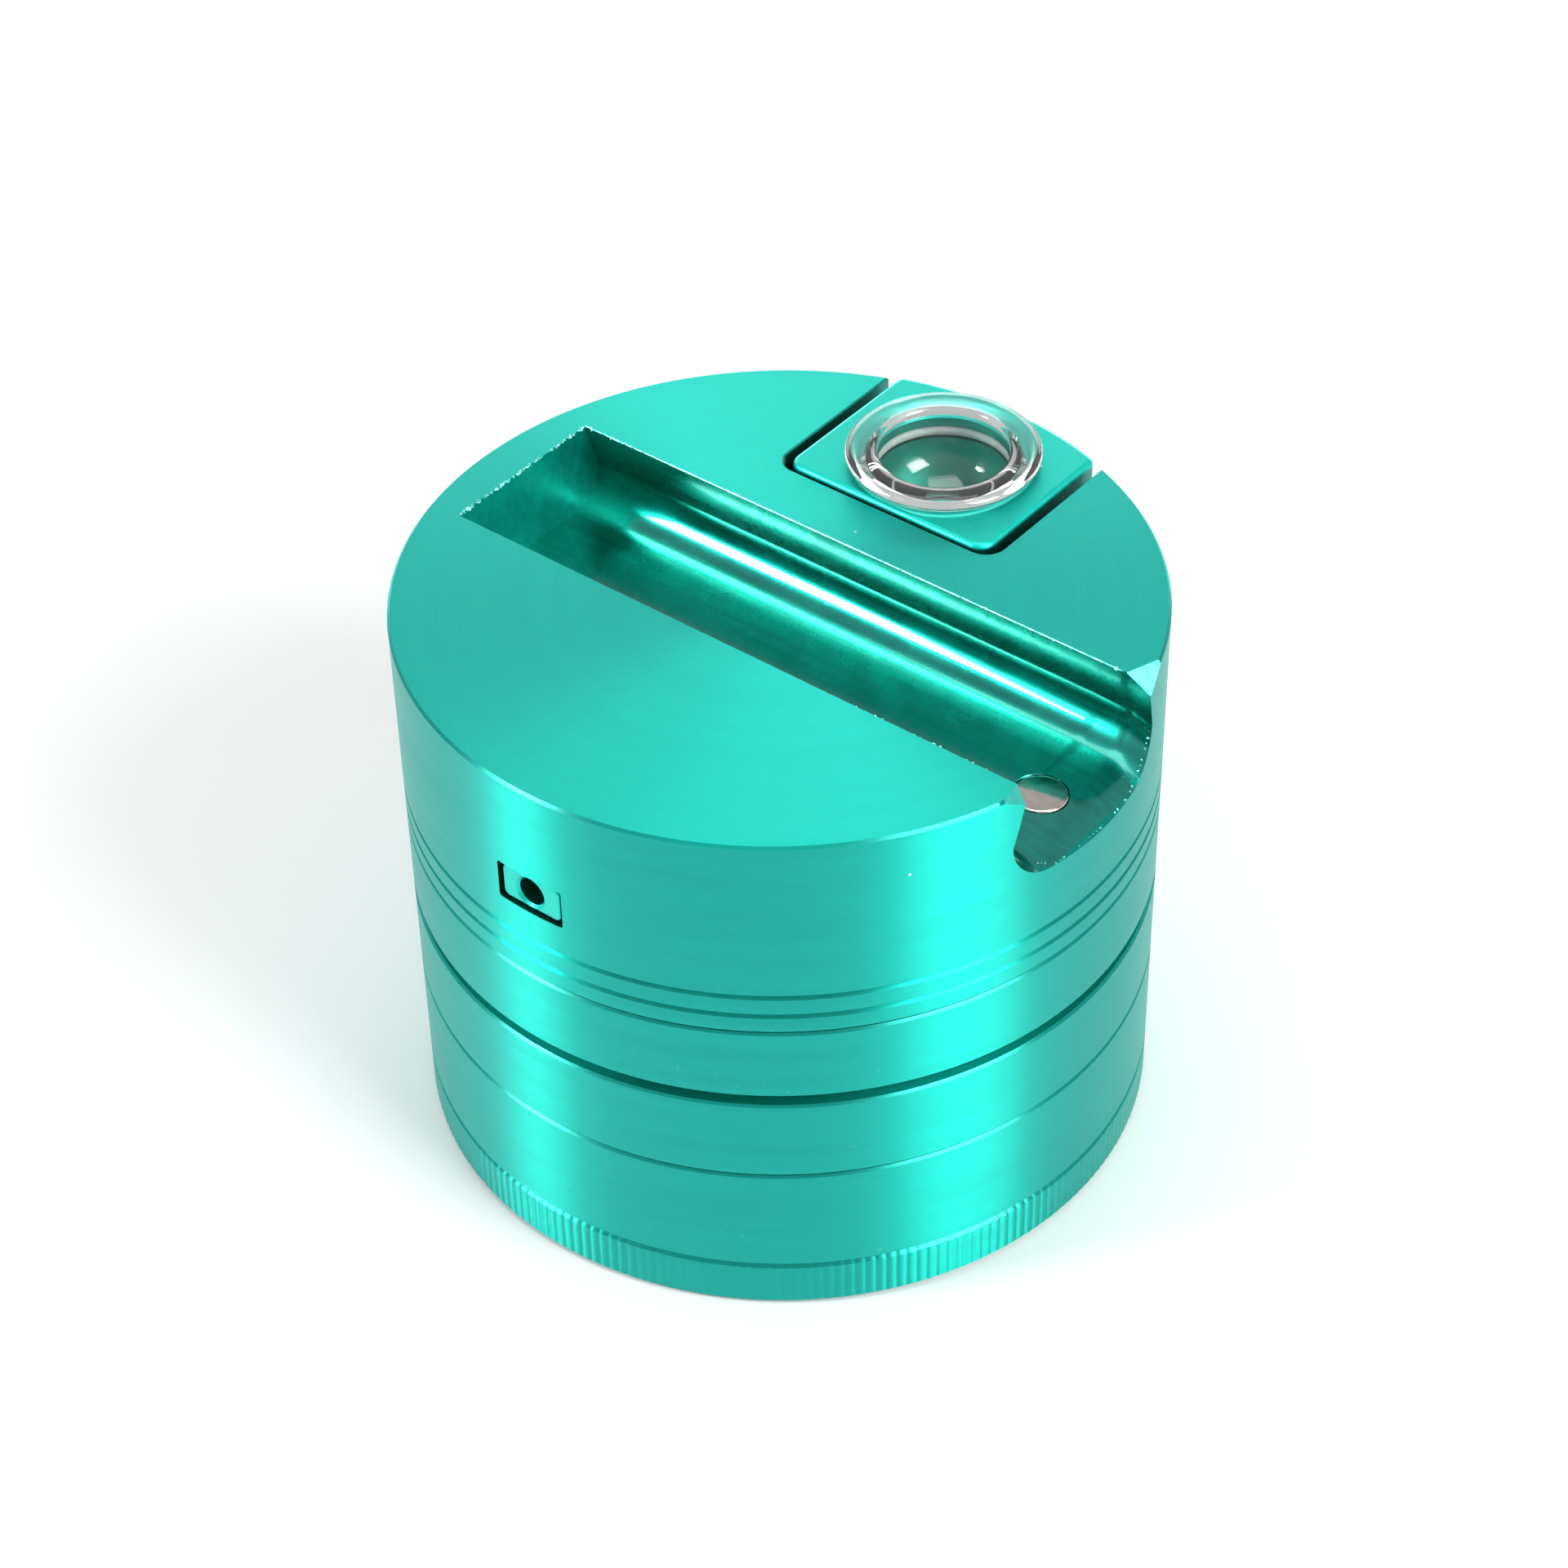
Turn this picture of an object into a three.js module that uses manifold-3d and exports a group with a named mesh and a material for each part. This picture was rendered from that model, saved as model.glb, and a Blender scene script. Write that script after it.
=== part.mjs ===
// Pocket herb grinder, 63 mm across, of turned and milled aluminium. From the table up it has a knurled
// catcher dish, a storage ring with a sieve, a grinding chamber with teeth and drop holes, a tooth lid that
// turns on a slick ring, and a thick tray body. The tray body has an open-ended trough with a magnet in its
// floor, and a pipe that slides out of its side: a head with a glass bowl, and a flat stem under the trough.
//
// Millimetres, +Z up. The origin is the centre of the base. +X runs along the trough to its open mouth,
// and +Y is the way the pipe slides out, so the stem's mouthpiece end faces -Y.
import * as THREE from "three";
import { mergeVertices } from "three/addons/utils/BufferGeometryUtils.js";
import Module from "manifold-3d";

const wasm = await Module();
wasm.setup();

// ---- Driving dimensions ----

// The stack
const bodyRadius = 31.5;
const catcherHeight = 4.6;
const storageHeight = 10.5;
const chamberHeight = 8.0;
const ringGapHeight = 1.0;
const lidHeight = 6.9;
const trayHeight = 19.2;
const seam = 0.1; // between two faces that are screwed together
const edgeBreak = 0.2; // the small chamfer on every outer edge at a seam
const rimChamfer = 0.3; // the top edge of the tray body
const baseChamfer = 0.5;

// Screw joints: each upper part has a spigot that goes down into the socket of the part below
const socketWall = 3.2;
const threadRoom = 1.0; // radial, between the plain spigot and the plain socket, for the thread
const spigotWall = 2.3;
const socketFloorPlay = 0.5; // axial, under the end of each spigot
const storageSpigot = 3.6; // the chamber's spigot, in the storage ring

// Catcher and storage
const catcherFloor = 1.0;
const catcherCove = 0.8;
const storageWall = 4.5;
const sieveLedge = 0.5; // the ledge's height above the storage ring's lower shoulder
const sieveThickness = 0.2;
const sieveRingHeight = 1.5;
const sieveRingWidth = 1.6;
const sievePlay = 0.2; // radial
const restPlay = 0.05; // axial, under each piece that sits on another

// Grinding chamber and lid
const chamberFloor = 2.4;
const chamberFloorDrop = 0.8; // how far the floor's underside hangs below the chamber's shoulder
const chamberWall = 3.1;
const lipPlay = 0.3; // radial, between the lid's lip and the chamber's wall
const lipWidth = 1.7;
const lipDepth = 1.2; // below the chamber's rim
const slickRingWidth = 1.5;
const lidPlate = 2.6;
const lidRecess = 0.9; // above the lid's lower face
const toothLength = 5.0;
const toothWidth = 3.2;
const toothEndPlay = 0.6; // between a tooth's end and the face opposite
const toothTopDrop = 0.7; // chamber teeth end this far below the chamber's rim
const toothSpacing = 10.0; // about this far apart round a lane
const lanePlay = 0.7; // radial, between the teeth of one lane and the next
const laneEndPlay = 1.6; // radial, from the outermost teeth to the lip, and at least this from the post
const dropHoleRadius = 1.8;
const dropHoleSpacing = 6.8;

// Centre magnets, in a post on the lid and a boss on the chamber's floor
const magnetRadius = 4.0;
const magnetHeight = 2.0;
const magnetPlay = 0.1;
const postWall = 1.1;
const bossHeight = 2.8;
const postGap = 0.6;

// Trough
const troughHalfWidth = 8.0;
const troughDepth = 8.1;
const troughFillet = 3.6;
const troughFloorHalf = 5.75;
const troughEndWall = 4.1; // metal between the closed end and the rim
// The facet on each corner of the mouth: how far in from the mouth it starts along the trough, how far it
// reaches past the trough's wall on the rim, and how far down it goes. side is 1 for +Y.
const mouthFacets = [
  { side: 1, setback: 2.2, spread: 3.2, depth: 1.9 },
  { side: -1, setback: 1.2, spread: 2.6, depth: 1.5 },
];
const mouthCutterSize = 12; // of the block that cuts a facet, larger than the facet
const mouthLipLength = 2.9; // how far in from the rim the floor starts to fall away
const mouthLipSlope = 24; // degrees
const troughMagnetRadius = 2.25;
const troughMagnetHeight = 1.5;
const troughMagnetSetback = 5.5; // its centre, in from the rim

// Grooves round the tray body
const grooveWidth = 0.5;
const grooveDepth = 0.3;
const grooveHeights = [1.9, 3.85]; // above the tray body's shoulder
const trayHollowWall = 2.7; // the spigot's wall
const trayFloor = 2.0; // metal between the hollow and the notch

// Pipe
const notchWall = 4.2; // metal between the notch and the trough, at the trough's widest
const notchCorner = 1.8;
const headHalfWidth = 10.25;
const headSideGap = 0.95;
const headInnerGap = 0.35;
const headCorner = 1.5;
const headProud = 0.3;
const headFloorGap = 0.2;
const headFloorWall = 0.9; // metal under the stem's socket
const channelWeb = 0.55; // metal left between the channel and the trough's floor
const stemHalfWidth = 2.9;
const stemHeight = 3.2;
const stemCorner = 0.6;
const stemTopGap = 0.15;
const stemFloorGap = 0.3;
const stemSideGap = 0.35;
const stemRecess = 0.2; // the mouthpiece end sits this far inside the rim
const smokeRadius = 1.25;
const tenonLength = 5.0;
const tenonPlay = 0.1;
const catchRadius = 1.5;
const catchLength = 2.0;
const catchSpread = 7.2;
const catchDepth = 5.7; // below the top

// Glass bowl
const bowlEdgeMargin = 0.05; // from the rolled rim to the head's inner face
const bowlInner = 5.6;
const bowlWall = 1.0;
const bowlRimWidth = 2.7;
const bowlRimHeight = 1.4;
const bowlDepth = 6.8;
const bowlRoundHeight = 4.2; // of the rounded bottom
const bowlHoleRadius = 1.2;
const bowlPlay = 0.2;
const bowlFloorGap = 0.4;
const sealRadius = 0.5; // of the seal's round section
const sealDepth = 1.8; // below the head's top
const sealPlay = 0.1;

// Facets
const bodyFacets = 48;
const smallFacets = 24;
const holeFacets = 12;
const arcFacets = 4;
const rimFacets = 10;
const sealFacets = 8;
const glassFacets = 28;
const overrun = 2.0; // how far a cutter runs past the face that it cuts
const root = 0.3; // how deep a tooth is rooted in the face it stands on

// ---- Heights and radii that follow ----

const storageLow = catcherHeight;
const chamberLow = storageLow + storageHeight;
const ringLow = chamberLow + chamberHeight;
const lidLow = ringLow + ringGapHeight;
const trayLow = lidLow + lidHeight;
const trayTop = trayLow + trayHeight;

const socketRadius = bodyRadius - socketWall;
const spigotRadius = socketRadius - threadRoom;
const spigotInner = spigotRadius - spigotWall;
const catcherSocketFloor = catcherFloor + catcherCove;
const storageInner = bodyRadius - storageWall;
const sieveRadius = storageInner - sievePlay;
const sieveLow = storageLow + seam + sieveLedge;
const sieveRingLow = sieveLow + restPlay + sieveThickness + restPlay;

const chamberFloorLow = chamberLow + seam - chamberFloorDrop;
const chamberFloorTop = chamberFloorLow + chamberFloor;
const chamberInner = bodyRadius - chamberWall;
const bossTop = chamberFloorTop + bossHeight;
const lipRadius = chamberInner - lipPlay;
const lidCeiling = lidLow + lidRecess;
const lidPlateTop = lidCeiling + lidPlate;
const traySpigotLow = lidPlateTop + socketFloorPlay;
const postLow = bossTop + postGap;
const pocketRadius = magnetRadius + magnetPlay;
const postRadius = pocketRadius + postWall;
const outerLane = lipRadius - lipWidth - laneEndPlay - toothWidth / 2;
const innerLaneLimit = postRadius + laneEndPlay + toothWidth / 2;

const troughFloor = trayTop - troughDepth;
const troughBulge = troughFloorHalf + troughFillet;
const troughEnd = -(bodyRadius - troughEndWall);
const troughMagnetX = bodyRadius - troughMagnetSetback;
const channelTop = troughFloor - channelWeb;
const stemTop = channelTop - stemTopGap;
const stemMiddle = stemTop - stemHeight / 2;
const stemLow = stemTop - stemHeight;
const channelLow = stemLow - stemFloorGap;
const stemFront = -(bodyRadius - stemRecess);
const headLow = stemLow - tenonPlay - headFloorWall;
const notchLow = headLow - headFloorGap;
const notchInner = troughBulge + notchWall;
const headInner = notchInner + headInnerGap;
const notchHalfWidth = headHalfWidth + headSideGap;
const channelHalfWidth = stemHalfWidth + stemSideGap;
const headTop = trayTop + headProud;
const catchZ = trayTop - catchDepth;
const bowlOuterRadius = bowlInner + bowlWall;
const bowlRimMiddle = bowlInner + bowlRimWidth / 2;
const bowlY = headInner + bowlEdgeMargin + bowlInner + bowlRimWidth;
const bowlBore = bowlOuterRadius + bowlPlay;
const bowlBoreLow = headTop - bowlDepth - bowlFloorGap;
const sealCentre = bowlOuterRadius + sealPlay + sealRadius;

// ---- Finishes ----

const anodisedColour = 0x12a58c;
const finishes = {
  anodised: { color: anodisedColour, roughness: 0.35, metalness: 1.0 },
  nickel: { color: 0xc9c4ba, roughness: 0.2, metalness: 1.0 },
  steel: { color: 0xb9bcbe, roughness: 0.35, metalness: 1.0 },
  slickPlastic: { color: 0x0d4f47, roughness: 0.5, metalness: 0.0 },
  silicone: { color: 0xdfe6e4, roughness: 0.6, metalness: 0.0 },
  glass: { color: 0xeef6f3, roughness: 0.05, metalness: 0.0, transparent: true, opacity: 0.35 },
};

// ---- Shape helpers ----

// A solid of revolution about Z. The profile is a list of [radius, height], and it runs from axis to axis
// or is closed here.
function turned(profile, facets = bodyFacets) {
  const outline = profile.map(([radius, height]) => new THREE.Vector2(radius, height));
  if (profile[0][0] > 0) outline.push(outline[0].clone());
  return new THREE.LatheGeometry(outline, facets).rotateX(Math.PI / 2);
}

// A disc standing on z = 0
function disc(radius, height, facets = smallFacets) {
  const geometry = new THREE.CylinderGeometry(radius, radius, height, facets);
  return geometry.rotateX(Math.PI / 2).translate(0, 0, height / 2);
}

// A disc lying on its side, from y = 0 towards +Y
function sideDisc(radius, length, facets = smallFacets) {
  const geometry = new THREE.CylinderGeometry(radius, radius, length, facets);
  return geometry.translate(0, length / 2, 0);
}

function extruded(shape, depth) {
  return new THREE.ExtrudeGeometry(shape, { depth, bevelEnabled: false, curveSegments: arcFacets });
}

// Turns an extrusion so that its outline's x and y lie along Y and Z, and it runs along +X
function alongX(geometry) {
  const axes = new THREE.Matrix4();
  axes.makeBasis(new THREE.Vector3(0, 1, 0), new THREE.Vector3(0, 0, 1), new THREE.Vector3(1, 0, 0));
  return geometry.applyMatrix4(axes);
}

// Turns an extrusion so that its outline's x and y lie along X and Z, and it runs along -Y
function alongMinusY(geometry) {
  return geometry.rotateX(Math.PI / 2);
}

function box(lowX, highX, lowY, highY, lowZ, highZ) {
  const geometry = new THREE.BoxGeometry(highX - lowX, highY - lowY, highZ - lowZ);
  return geometry.translate((lowX + highX) / 2, (lowY + highY) / 2, (lowZ + highZ) / 2);
}

function roundedRectangle(lowX, highX, lowY, highY, corner) {
  const shape = new THREE.Shape();
  shape.moveTo(lowX + corner, lowY);
  shape.lineTo(highX - corner, lowY);
  shape.absarc(highX - corner, lowY + corner, corner, -Math.PI / 2, 0);
  shape.lineTo(highX, highY - corner);
  shape.absarc(highX - corner, highY - corner, corner, 0, Math.PI / 2);
  shape.lineTo(lowX + corner, highY);
  shape.absarc(lowX + corner, highY - corner, corner, Math.PI / 2, Math.PI);
  shape.lineTo(lowX, lowY + corner);
  shape.absarc(lowX + corner, lowY + corner, corner, Math.PI, Math.PI * 1.5);
  return shape;
}

// ---- Joining and cutting ----

function toSolid(geometry) {
  geometry.deleteAttribute("normal");
  geometry.deleteAttribute("uv");
  const merged = mergeVertices(geometry);
  const corners = merged.index.array;
  const triangles = [];
  for (let i = 0; i < corners.length; i += 3) {
    const [a, b, c] = corners.slice(i, i + 3);
    if (a !== b && b !== c && c !== a) triangles.push(a, b, c);
  }
  const mesh = new wasm.Mesh({
    numProp: 3,
    vertProperties: new Float32Array(merged.attributes.position.array),
    triVerts: new Uint32Array(triangles),
  });
  return new wasm.Manifold(mesh);
}

function toGeometry(solid) {
  const mesh = solid.getMesh();
  const geometry = new THREE.BufferGeometry();
  geometry.setAttribute("position", new THREE.BufferAttribute(mesh.vertProperties, 3));
  geometry.setIndex(new THREE.BufferAttribute(mesh.triVerts, 1));
  geometry.computeVertexNormals();
  return geometry;
}

// The first geometry with the added ones joined on and the cut ones taken away
function shaped(base, { added = [], cut = [] }) {
  let solid = toSolid(base);
  for (const geometry of added) solid = solid.add(toSolid(geometry));
  for (const geometry of cut) solid = solid.subtract(toSolid(geometry));
  return toGeometry(solid);
}

function piece(name, geometry, finish) {
  const mesh = new THREE.Mesh(geometry, new THREE.MeshStandardMaterial(finishes[finish]));
  mesh.name = name;
  return mesh;
}

// ---- Teeth and drop holes ----

// One diamond tooth, standing on z = 0
function tooth(height) {
  const plan = new THREE.Shape();
  plan.moveTo(toothWidth / 2, 0);
  plan.lineTo(0, toothLength / 2);
  plan.lineTo(-toothWidth / 2, 0);
  plan.lineTo(0, -toothLength / 2);
  return extruded(plan, height);
}

// The radii of the lanes of teeth, from the outside in. The chamber has the first, the lid the next, and
// so on by turns, so that the lid's teeth pass between the chamber's.
function toothLanes() {
  const radii = [];
  for (let radius = outerLane; radius >= innerLaneLimit; radius -= toothWidth + lanePlay) radii.push(radius);
  return { chamber: radii.filter((_, i) => i % 2 === 0), lid: radii.filter((_, i) => i % 2 === 1) };
}

// Copies of what make() gives, evenly spaced round a lane, with the first half a step from +X
function roundLane(radius, count, make) {
  const copies = [];
  for (let i = 0; i < count; i += 1) {
    const angle = ((i + 0.5) * 2 * Math.PI) / count;
    copies.push(make().translate(radius, 0, 0).rotateZ(angle));
  }
  return copies;
}

// The teeth on some lanes, in fours so that the same view shows from each quarter
function teethOn(lanes, low, high) {
  return lanes.flatMap((radius) => {
    const fours = Math.round((2 * Math.PI * radius) / (4 * toothSpacing));
    return roundLane(radius, 4 * fours, () => tooth(high - low).translate(0, 0, low));
  });
}

// The drop holes lie under the lid's teeth, where the chamber has none
function dropHoles() {
  const low = chamberFloorLow - overrun;
  const make = () => disc(dropHoleRadius, chamberFloor + 2 * overrun, holeFacets).translate(0, 0, low);
  return toothLanes().lid.flatMap((radius) => {
    return roundLane(radius, Math.round((2 * Math.PI * radius) / dropHoleSpacing), make);
  });
}

// ---- Turned parts of the stack ----

// The outer wall of a ring of the stack, from its lower shoulder to its rim, with both edges broken
function outerWall(low, high) {
  return [
    [bodyRadius - edgeBreak, low],
    [bodyRadius, low + edgeBreak],
    [bodyRadius, high - edgeBreak],
    [bodyRadius - edgeBreak, high],
  ];
}

function kiefCatcher() {
  return turned([
    [0, 0],
    [bodyRadius - baseChamfer, 0],
    [bodyRadius, baseChamfer],
    [bodyRadius, catcherHeight - edgeBreak],
    [bodyRadius - edgeBreak, catcherHeight],
    [socketRadius, catcherHeight],
    [socketRadius, catcherSocketFloor],
    [socketRadius - catcherCove, catcherFloor],
    [0, catcherFloor],
  ]);
}

function storageChamber() {
  const shoulder = storageLow + seam;
  const spigotLow = catcherSocketFloor + socketFloorPlay;
  const socketLow = chamberLow + seam - storageSpigot - socketFloorPlay;
  return turned([
    [spigotInner, spigotLow],
    [spigotRadius, spigotLow],
    [spigotRadius, shoulder],
    ...outerWall(shoulder, chamberLow),
    [socketRadius, chamberLow],
    [socketRadius, socketLow],
    [storageInner, socketLow],
    [storageInner, sieveLow],
    [spigotInner, sieveLow],
  ]);
}

function sieveMesh() {
  return disc(sieveRadius, sieveThickness, bodyFacets).translate(0, 0, sieveLow + restPlay);
}

function sieveRing() {
  return turned([
    [sieveRadius - sieveRingWidth, sieveRingLow],
    [sieveRadius, sieveRingLow],
    [sieveRadius, sieveRingLow + sieveRingHeight],
    [sieveRadius - sieveRingWidth, sieveRingLow + sieveRingHeight],
  ]);
}

function grindingChamber() {
  const shoulder = chamberLow + seam;
  const spigotLow = shoulder - storageSpigot;
  const body = turned([
    [0, chamberFloorLow],
    [spigotInner, chamberFloorLow],
    [spigotInner, spigotLow],
    [spigotRadius, spigotLow],
    [spigotRadius, shoulder],
    ...outerWall(shoulder, ringLow),
    [chamberInner, ringLow],
    [chamberInner, chamberFloorTop],
    [postRadius, chamberFloorTop],
    [postRadius, bossTop],
    [pocketRadius, bossTop],
    [pocketRadius, bossTop - magnetHeight - magnetPlay],
    [0, bossTop - magnetHeight - magnetPlay],
  ]);
  return shaped(body, {
    added: teethOn(toothLanes().chamber, chamberFloorTop - root, ringLow - toothTopDrop),
    cut: dropHoles(),
  });
}

function frictionRing() {
  return turned([
    [chamberInner, ringLow + restPlay],
    [chamberInner + slickRingWidth, ringLow + restPlay],
    [chamberInner + slickRingWidth, lidLow - restPlay],
    [chamberInner, lidLow - restPlay],
  ]);
}

function toothLid() {
  const lipLow = ringLow - lipDepth;
  const body = turned([
    [0, postLow + magnetHeight + magnetPlay],
    [pocketRadius, postLow + magnetHeight + magnetPlay],
    [pocketRadius, postLow],
    [postRadius, postLow],
    [postRadius, lidCeiling],
    [lipRadius - lipWidth, lidCeiling],
    [lipRadius - lipWidth, lipLow],
    [lipRadius, lipLow],
    [lipRadius, lidLow],
    ...outerWall(lidLow, trayLow),
    [socketRadius, trayLow],
    [socketRadius, lidPlateTop],
    [0, lidPlateTop],
  ]);
  return shaped(body, {
    added: teethOn(toothLanes().lid, chamberFloorTop + toothEndPlay, lidCeiling + root),
  });
}

// ---- Tray body ----

// A shallow V groove, as three profile points going up the outer wall
function groove(middle) {
  return [
    [bodyRadius, middle - grooveWidth / 2],
    [bodyRadius - grooveDepth, middle],
    [bodyRadius, middle + grooveWidth / 2],
  ];
}

function troughSection() {
  const filletMiddle = troughFloor + troughFillet;
  const section = new THREE.Shape();
  section.moveTo(troughHalfWidth, trayTop + overrun);
  section.lineTo(-troughHalfWidth, trayTop + overrun);
  section.lineTo(-troughHalfWidth, trayTop);
  section.lineTo(-troughBulge, filletMiddle);
  section.absarc(-troughFloorHalf, filletMiddle, troughFillet, Math.PI, Math.PI * 1.5);
  section.lineTo(troughFloorHalf, troughFloor);
  section.absarc(troughFloorHalf, filletMiddle, troughFillet, -Math.PI / 2, 0);
  section.lineTo(troughHalfWidth, trayTop);
  return section;
}

function troughCutter() {
  return alongX(extruded(troughSection(), bodyRadius + overrun - troughEnd)).translate(troughEnd, 0, 0);
}

// The same section, tipped down so that the floor falls away towards the rim
function mouthLipCutter() {
  return alongX(extruded(troughSection(), mouthLipLength + 2 * overrun))
    .translate(0, 0, -troughFloor)
    .rotateY(THREE.MathUtils.degToRad(mouthLipSlope))
    .translate(bodyRadius - mouthLipLength, 0, troughFloor);
}

// A block whose face cuts the sharp corner between the trough's wall, the top and the rim
function mouthFacetCutter({ side, setback, spread, depth }) {
  const rimY = troughHalfWidth + spread;
  const rimX = Math.sqrt(bodyRadius ** 2 - rimY ** 2);
  const cornerX = Math.sqrt(bodyRadius ** 2 - troughHalfWidth ** 2);
  const onEdge = new THREE.Vector3(cornerX - setback, side * troughHalfWidth, trayTop);
  const onRim = new THREE.Vector3(rimX, side * rimY, trayTop);
  const below = new THREE.Vector3(cornerX, side * troughHalfWidth, trayTop - depth);
  const outward = onRim.clone().sub(onEdge).cross(below.clone().sub(onEdge)).normalize();
  if (outward.z < 0) outward.negate();
  const geometry = new THREE.BoxGeometry(mouthCutterSize, mouthCutterSize, mouthCutterSize);
  geometry.translate(0, 0, mouthCutterSize / 2);
  geometry.applyQuaternion(new THREE.Quaternion().setFromUnitVectors(new THREE.Vector3(0, 0, 1), outward));
  return geometry.translate(onEdge.x, onEdge.y, onEdge.z);
}

function notchCutter() {
  const outer = bodyRadius + overrun + notchCorner;
  const plan = roundedRectangle(-notchHalfWidth, notchHalfWidth, notchInner, outer, notchCorner);
  return extruded(plan, trayTop + overrun - notchLow).translate(0, 0, notchLow);
}

function trayBody() {
  const shoulder = trayLow + seam;
  const body = turned([
    [0, notchLow - trayFloor],
    [spigotRadius - trayHollowWall, notchLow - trayFloor],
    [spigotRadius - trayHollowWall, traySpigotLow],
    [spigotRadius, traySpigotLow],
    [spigotRadius, shoulder],
    [bodyRadius - edgeBreak, shoulder],
    [bodyRadius, shoulder + edgeBreak],
    ...grooveHeights.flatMap((height) => groove(trayLow + height)),
    [bodyRadius, trayTop - rimChamfer],
    [bodyRadius - rimChamfer, trayTop],
    [0, trayTop],
  ]);
  const stemChannel = box(
    -channelHalfWidth,
    channelHalfWidth,
    -bodyRadius - overrun,
    notchInner + overrun,
    channelLow,
    channelTop,
  );
  const magnetPocket = disc(troughMagnetRadius + magnetPlay, troughMagnetHeight + magnetPlay + overrun);
  const catchPocket = (side) =>
    sideDisc(catchRadius + magnetPlay, catchLength + magnetPlay + overrun).translate(
      side * catchSpread,
      notchInner - catchLength - magnetPlay,
      catchZ,
    );
  return shaped(body, {
    cut: [
      troughCutter(),
      mouthLipCutter(),
      ...mouthFacets.map(mouthFacetCutter),
      notchCutter(),
      stemChannel,
      magnetPocket.translate(troughMagnetX, 0, troughFloor - troughMagnetHeight - magnetPlay),
      catchPocket(-1),
      catchPocket(1),
    ],
  });
}

// ---- Pipe ----

function pipeHead() {
  const reach = bodyRadius + headCorner + overrun;
  const plan = roundedRectangle(-headHalfWidth, headHalfWidth, headInner, reach, headCorner);
  const block = toSolid(extruded(plan, headTop - headLow).translate(0, 0, headLow));
  const rim = toSolid(disc(bodyRadius, headTop + overrun, bodyFacets));
  const bore = disc(bowlBore, headTop + overrun - bowlBoreLow).translate(0, bowlY, bowlBoreLow);
  const sealGroove = disc(sealCentre + sealRadius + sealPlay, 2 * (sealRadius + sealPlay));
  const drop = disc(smokeRadius + sealPlay, bowlBoreLow + root - stemMiddle);
  const socket = box(
    -stemHalfWidth - tenonPlay,
    stemHalfWidth + tenonPlay,
    headInner - overrun,
    headInner + tenonLength + tenonPlay,
    stemMiddle - stemHeight / 2 - tenonPlay,
    stemMiddle + stemHeight / 2 + tenonPlay,
  );
  const smokeWay = sideDisc(smokeRadius, bowlY - headInner - tenonLength + overrun);
  const catchPocket = (side) =>
    sideDisc(catchRadius + magnetPlay, catchLength + magnetPlay + overrun).translate(
      side * catchSpread,
      headInner - overrun,
      catchZ,
    );
  return shaped(toGeometry(block.intersect(rim)), {
    cut: [
      bore,
      sealGroove.translate(0, bowlY, headTop - sealDepth - sealRadius - sealPlay),
      drop.translate(0, bowlY, stemMiddle),
      socket,
      smokeWay.translate(0, headInner + tenonLength - root, stemMiddle),
      catchPocket(-1),
      catchPocket(1),
    ],
  });
}

function pipeStem() {
  const length = headInner + tenonLength - stemFront;
  const section = roundedRectangle(
    -stemHalfWidth,
    stemHalfWidth,
    -stemHeight / 2,
    stemHeight / 2,
    stemCorner,
  );
  const bore = new THREE.Path();
  bore.absarc(0, 0, smokeRadius, 0, Math.PI, false);
  bore.absarc(0, 0, smokeRadius, Math.PI, Math.PI * 2, false);
  section.holes.push(bore);
  return alongMinusY(extruded(section, length));
}

// Points [radius, height] up an elliptic bottom, from the hole in its middle out to the full radius
function roundedBottom(radius, height, top) {
  const start = Math.asin(bowlHoleRadius / radius);
  const points = [];
  for (let i = 0; i <= arcFacets; i += 1) {
    const angle = start + (i / arcFacets) * (Math.PI / 2 - start);
    points.push([radius * Math.sin(angle), top - height * Math.cos(angle)]);
  }
  return points;
}

// The bowl about its own axis, with z = 0 at the top of the head: up the outside, round the rolled rim
// and down the inside to the hole
function glassBowl() {
  const roundTop = bowlRoundHeight - bowlDepth;
  const rim = [];
  for (let i = 0; i <= rimFacets; i += 1) {
    const angle = -Math.PI / 2 + (i / rimFacets) * Math.PI * 1.5;
    rim.push([
      bowlRimMiddle + (bowlRimWidth / 2) * Math.cos(angle),
      restPlay + (bowlRimHeight / 2) * (1 + Math.sin(angle)),
    ]);
  }
  return turned(
    [
      ...roundedBottom(bowlOuterRadius, bowlRoundHeight, roundTop),
      [bowlOuterRadius, restPlay],
      ...rim,
      ...roundedBottom(bowlInner, bowlRoundHeight - bowlWall, roundTop).reverse(),
    ],
    glassFacets,
  );
}

function bowlSeal() {
  return new THREE.TorusGeometry(sealCentre, sealRadius, sealFacets, glassFacets);
}

// ---- The assembly ----

const magnetDisc = () => disc(magnetRadius, magnetHeight);

const chamberMagnet = piece("chamber_magnet", magnetDisc(), "nickel");
chamberMagnet.position.z = bossTop - magnetHeight;
const lidMagnet = piece("lid_magnet", magnetDisc(), "nickel");
lidMagnet.position.z = postLow;
const troughMagnet = piece("trough_magnet", disc(troughMagnetRadius, troughMagnetHeight), "nickel");
troughMagnet.position.set(troughMagnetX, 0, troughFloor - troughMagnetHeight);

const stack = new THREE.Group();
stack.add(
  piece("kief_catcher", kiefCatcher(), "anodised"),
  piece("storage_chamber", storageChamber(), "anodised"),
  piece("sieve_mesh", sieveMesh(), "steel"),
  piece("sieve_ring", sieveRing(), "steel"),
  piece("grinding_chamber", grindingChamber(), "anodised"),
  chamberMagnet,
  piece("friction_ring", frictionRing(), "slickPlastic"),
  piece("tooth_lid", toothLid(), "anodised"),
  lidMagnet,
  piece("tray_body", trayBody(), "anodised"),
  troughMagnet,
);

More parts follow.
